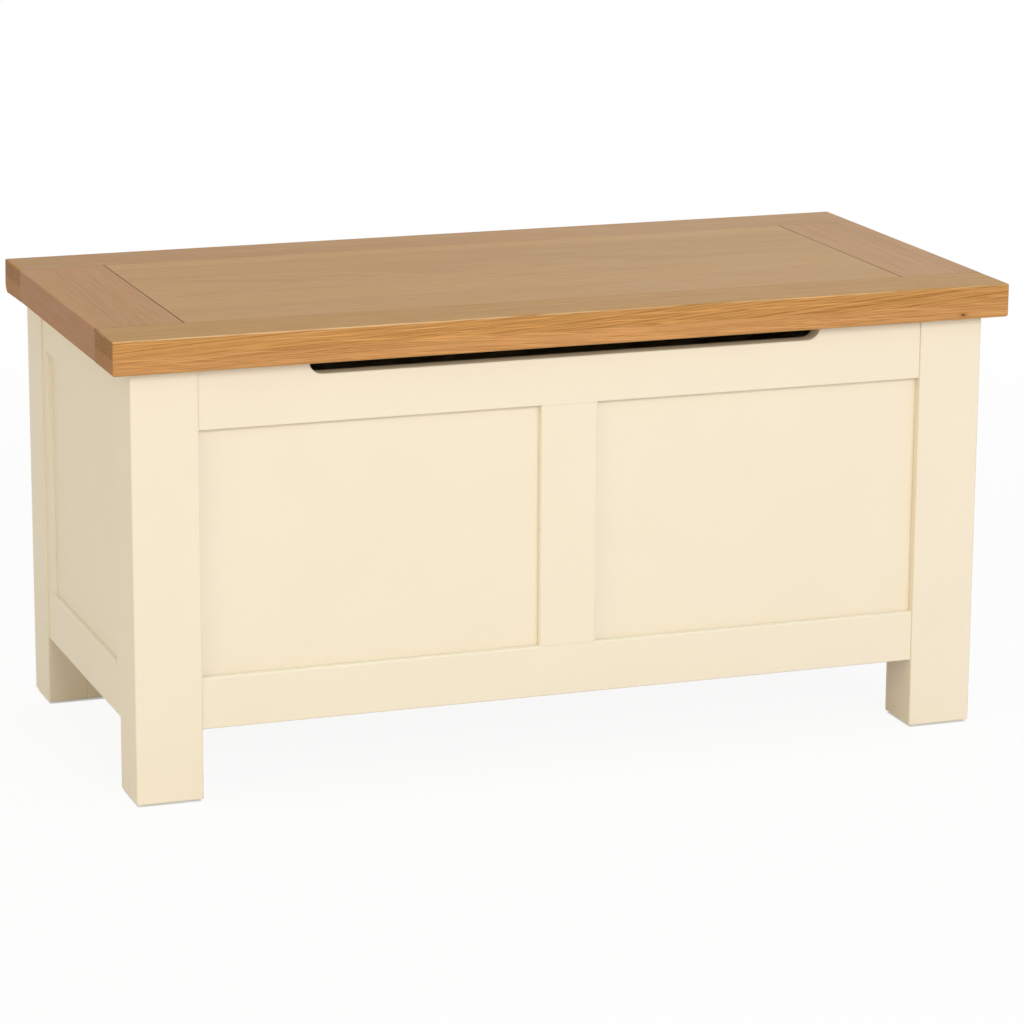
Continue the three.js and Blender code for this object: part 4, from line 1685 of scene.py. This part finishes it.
@dataclass
class Stays(Assembly):
    """The two folding steel stays that stop the lid, with their rivets and screws."""

    rim: float = 0.3
    shank_radius: float = 2.5
    head_radius: float = 4.5
    head_height: float = 1.2
    dome: tuple[Range, ...] = ((1.0, 1.0), (1.0, 0.72), (0.88, 0.38), (0.6, 0.1), (0.0, 0.0))
    foot_screw: Range = (362.7, 179.7)
    foot_screw_heights: Range = (304.5, 348.5)
    foot_screw_turn: float = 0.5
    lid_screw: Range = (382.2, 414.7)
    lid_screw_places: Range = (48.7, 60.7)
    lid_screw_turn: float = 0.2

    def plates(self) -> None:
        """Finishes the plates, the brackets and the arms."""
        for side in Side:
            for node in ("stay_foot_plate", "stay_lower_arm", "stay_upper_arm", "stay_lid_bracket"):
                self.fit(f"{side.word}_{node}", ZINC, self.rim)

    def rivet(self, node: str, side: Side, flush: bool) -> None:
        """Turns one rivet with a domed head at each free end.

        Args:
            node: The rivet's CAD node.
            side: The side it is on.
            flush: Whether its outer end is flush with the plate.
        """
        low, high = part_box(node)
        length = (high.x - low.x) / MM
        shank = self.shank_radius
        head = [(radius * self.head_radius, height * self.head_height) for radius, height in self.dome]
        outer = [(shank, 0.0)] if flush else [*head[-2::-1], (shank, self.head_height)]
        inner = [(shank, length - self.head_height), *((r, length - h) for r, h in head)]
        profile, inwards = [(0.0, 0.0), *outer, *inner], (-side.value, 0.0, 0.0)
        self.turn("turned_" + node, node, ZINC_TURNED, profile, steps=28, facing=inwards)

    def screws(self) -> None:
        """Drives the screws of the foot plates and the lid brackets."""
        foot, bracket = [], []
        for side in Side:
            x, y = self.foot_screw
            for z in self.foot_screw_heights:
                foot.append(Stand((side.value * x, y, z), (-side.value, 0.0, 0.0), self.foot_screw_turn + z))
            x, z = self.lid_screw
            for y in self.lid_screw_places:
                bracket.append(Stand((side.value * x, y, z), DOWN, self.lid_screw_turn + y))
        self.drive("stay_foot_screws", STAY_SCREW, foot, Body.CHEST)
        self.drive("stay_lid_screws", STAY_SCREW, bracket, Body.LID)

    def build(self) -> None:
        """Builds and dresses both stays."""
        self.plates()
        for side in Side:
            for node in ("stay_foot_rivet", "stay_elbow_rivet", "stay_lid_rivet"):
                self.rivet(f"{side.word}_{node}", side, flush=node == "stay_foot_rivet")
        self.screws()


@dataclass(frozen=True)
class Lamp:
    """One soft lamp: where it hangs and points, how wide and strong it is, and whether gloss mirrors it."""

    name: str
    place: Point
    target: Point
    width: float
    height: float
    power: float
    colour: Colour = WHITE
    mirrored: bool = True


@dataclass
class Studio:
    """A white studio: floor, surroundings, soft lamps and the camera.

    Attributes:
        glow_reach: The distances between which the floor becomes fully white, in millimetres.
        foot: How far the feet lie out along X, their middle along Y, and how far they lie from it, in
            millimetres.
        foot_x: Half a foot's width, and where the blur of its edge ends, in millimetres.
        foot_y: The same from front to back.
    """

    floor_radius: float = 14.0
    floor_colour: Colour = (0.96, 0.96, 0.96)
    floor_dust: float = 0.985
    floor_glow: float = 0.92
    glow_reach: Range = (900.0, 2400.0)
    foot: Point = (397.5, 6.5, 177.0)
    foot_x: Range = (30.5, 31.5)
    foot_y: Range = (27.0, 28.0)
    foot_shade: float = 0.6
    ambient: float = 0.50
    focal_pixels: float = 4014.1
    yaw: float = 19.8237
    pitch: float = 14.1077
    roll: float = 0.3213
    place: Point = (-1.3140, -3.6815, 1.1867)
    clip: Range = (0.05, 60.0)
    lamps: tuple[Lamp, ...] = (
        Lamp("front_softbox", (0.45, -4.1, 2.05), (0.0, -0.2, 0.2), 3.0, 1.3, 80.0),
        Lamp("top_softbox", (0.0, 0.2, 3.4), (0.0, 0.0, 0.4), 2.4, 1.8, 10.0, mirrored=False),
        Lamp("left_fill", (-3.6, -1.9, 1.8), (-0.4, 0.0, 0.25), 2.2, 2.0, 31.5, (1.0, 0.84, 0.38)),
        Lamp("back_fill", (1.5, 4.2, 1.8), (0.0, 0.2, 0.25), 2.4, 2.0, 17.0, mirrored=False),
        Lamp("far_window", (2.9, 4.3, 1.7), (0.2, 0.2, 0.3), 2.4, 2.0, 5.5),
    )

    def seen(self, tree: bpy.types.NodeTree) -> Number:
        """Marks the rays that see the studio white: the camera's, and mirrored and transmitted ones.

        Args:
            tree: The node tree of the floor or the world.

        Returns:
            1 for those rays and 0 for the rest.
        """
        path = add_node(tree, "LightPath").outputs
        camera, mirrored = Number(path["Is Camera Ray"]), Number(path["Is Glossy Ray"])
        return camera.maths("MAXIMUM", mirrored).maths("MAXIMUM", Number(path["Is Transmission Ray"]))

    def under_feet(self, where: Place) -> Number:
        """Marks the floor right under the four feet, where the glow is cut back as painted shade so that
        their real shadow shows.

        Args:
            where: The places on the floor.

        Returns:
            1 under a foot and 0 elsewhere.
        """
        x, y, _ = where.parts
        out = abs(abs(x) - self.foot[0])
        deep = abs(abs(y - self.foot[1]) - self.foot[2])
        return out.eased(self.foot_x, FADING) * deep.eased(self.foot_y, FADING)

    def floor(self) -> None:
        """Lays the pale floor, which keeps the chest's soft shadow."""
        material = bpy.data.materials.new("studio_floor")
        material.use_nodes = True
        tree = material.node_tree
        tree.nodes.clear()
        where = places(tree)
        dusty = mix(FLOOR_DUST.over(where), self.floor_colour, scaled(self.floor_colour, self.floor_dust))
        nodes = (add_node(tree, "BsdfDiffuse", dusty), add_node(tree, "Emission"))
        share = where.length.eased(self.glow_reach, (self.floor_glow, 1.0))
        # Painted shade under the feet: less glow there, so the real shadow shows as a dark line.
        share -= share * self.under_feet(where) * self.foot_shade
        shaders = (Signal(node.outputs[0]) for node in nodes)
        blend = add_node(tree, "MixShader", self.seen(tree) * share, *shaders)
        add_node(tree, "OutputMaterial", Signal(blend.outputs[0]))
        shape = bmesh.new()
        bmesh.ops.create_circle(shape, cap_ends=True, segments=96, radius=self.floor_radius)
        linked(shape, "studio_floor", material)

    def surroundings(self) -> None:
        """Makes the world white where it is seen, and plain even light elsewhere."""
        world = bpy.data.worlds.new("white_studio")
        world.use_nodes = True
        bpy.context.scene.world = world
        back = next(node for node in world.node_tree.nodes if node.type == "BACKGROUND")
        feed(back.inputs["Color"], (*WHITE, 1.0))
        feed(back.inputs["Strength"], self.seen(world.node_tree).eased(RISING, (self.ambient, 1.0)))

    def hang_lamps(self) -> None:
        """Hangs the soft lamps, out of the camera's sight."""
        for lamp in self.lamps:
            light = bpy.data.lights.new(lamp.name, "AREA")
            light.shape = "RECTANGLE"
            light.size, light.size_y = lamp.width, lamp.height
            light.energy, light.color = lamp.power, lamp.colour
            hung = bpy.data.objects.new(lamp.name, light)
            hung.location = lamp.place
            aim = Vector(lamp.target) - Vector(lamp.place)
            hung.rotation_euler = aim.to_track_quat("-Z", "Y").to_euler()
            hung.visible_camera, hung.visible_glossy = False, lamp.mirrored
            bpy.context.scene.collection.objects.link(hung)

    def camera(self) -> None:
        """Stands the camera where the photograph was taken, without shift."""
        yaw, pitch, roll = (math.radians(angle) for angle in (self.yaw, self.pitch, self.roll))
        ahead = Vector((math.sin(yaw) * math.cos(pitch), math.cos(yaw) * math.cos(pitch), -math.sin(pitch)))
        right = Vector((math.cos(yaw), -math.sin(yaw), 0.0))
        up = right.cross(ahead)
        level = right * math.cos(roll) + up * math.sin(roll)
        upright = up * math.cos(roll) - right * math.sin(roll)
        lens = bpy.data.cameras.new("portrait_camera")
        lens.sensor_width = SENSOR_WIDTH
        lens.lens = self.focal_pixels / PHOTO_PIXELS * SENSOR_WIDTH
        lens.clip_start, lens.clip_end = self.clip
        camera = bpy.data.objects.new("portrait_camera", lens)
        turn = Matrix((level, upright, -ahead)).transposed().to_4x4()
        camera.matrix_world = Matrix.Translation(self.place) @ turn
        bpy.context.scene.collection.objects.link(camera)
        bpy.context.scene.camera = camera

    def build(self) -> None:
        """Sets up the studio."""
        bpy.context.scene.view_settings.view_transform = "Standard"
        self.camera()
        self.floor()
        self.surroundings()
        self.hang_lamps()
        log.info("the studio is lit")


def main() -> None:
    """Sets up the studio, then builds the chest from the floor up."""
    logging.basicConfig(level=logging.INFO, format="%(message)s")
    Studio().build()
    for part in (Carcass(), Lid(), Hinges(), Stays()):
        part.build()
        log.info("%s: %d new pieces", type(part).__name__.lower(), len(part.pieces))


if __name__ == "__main__":
    main()
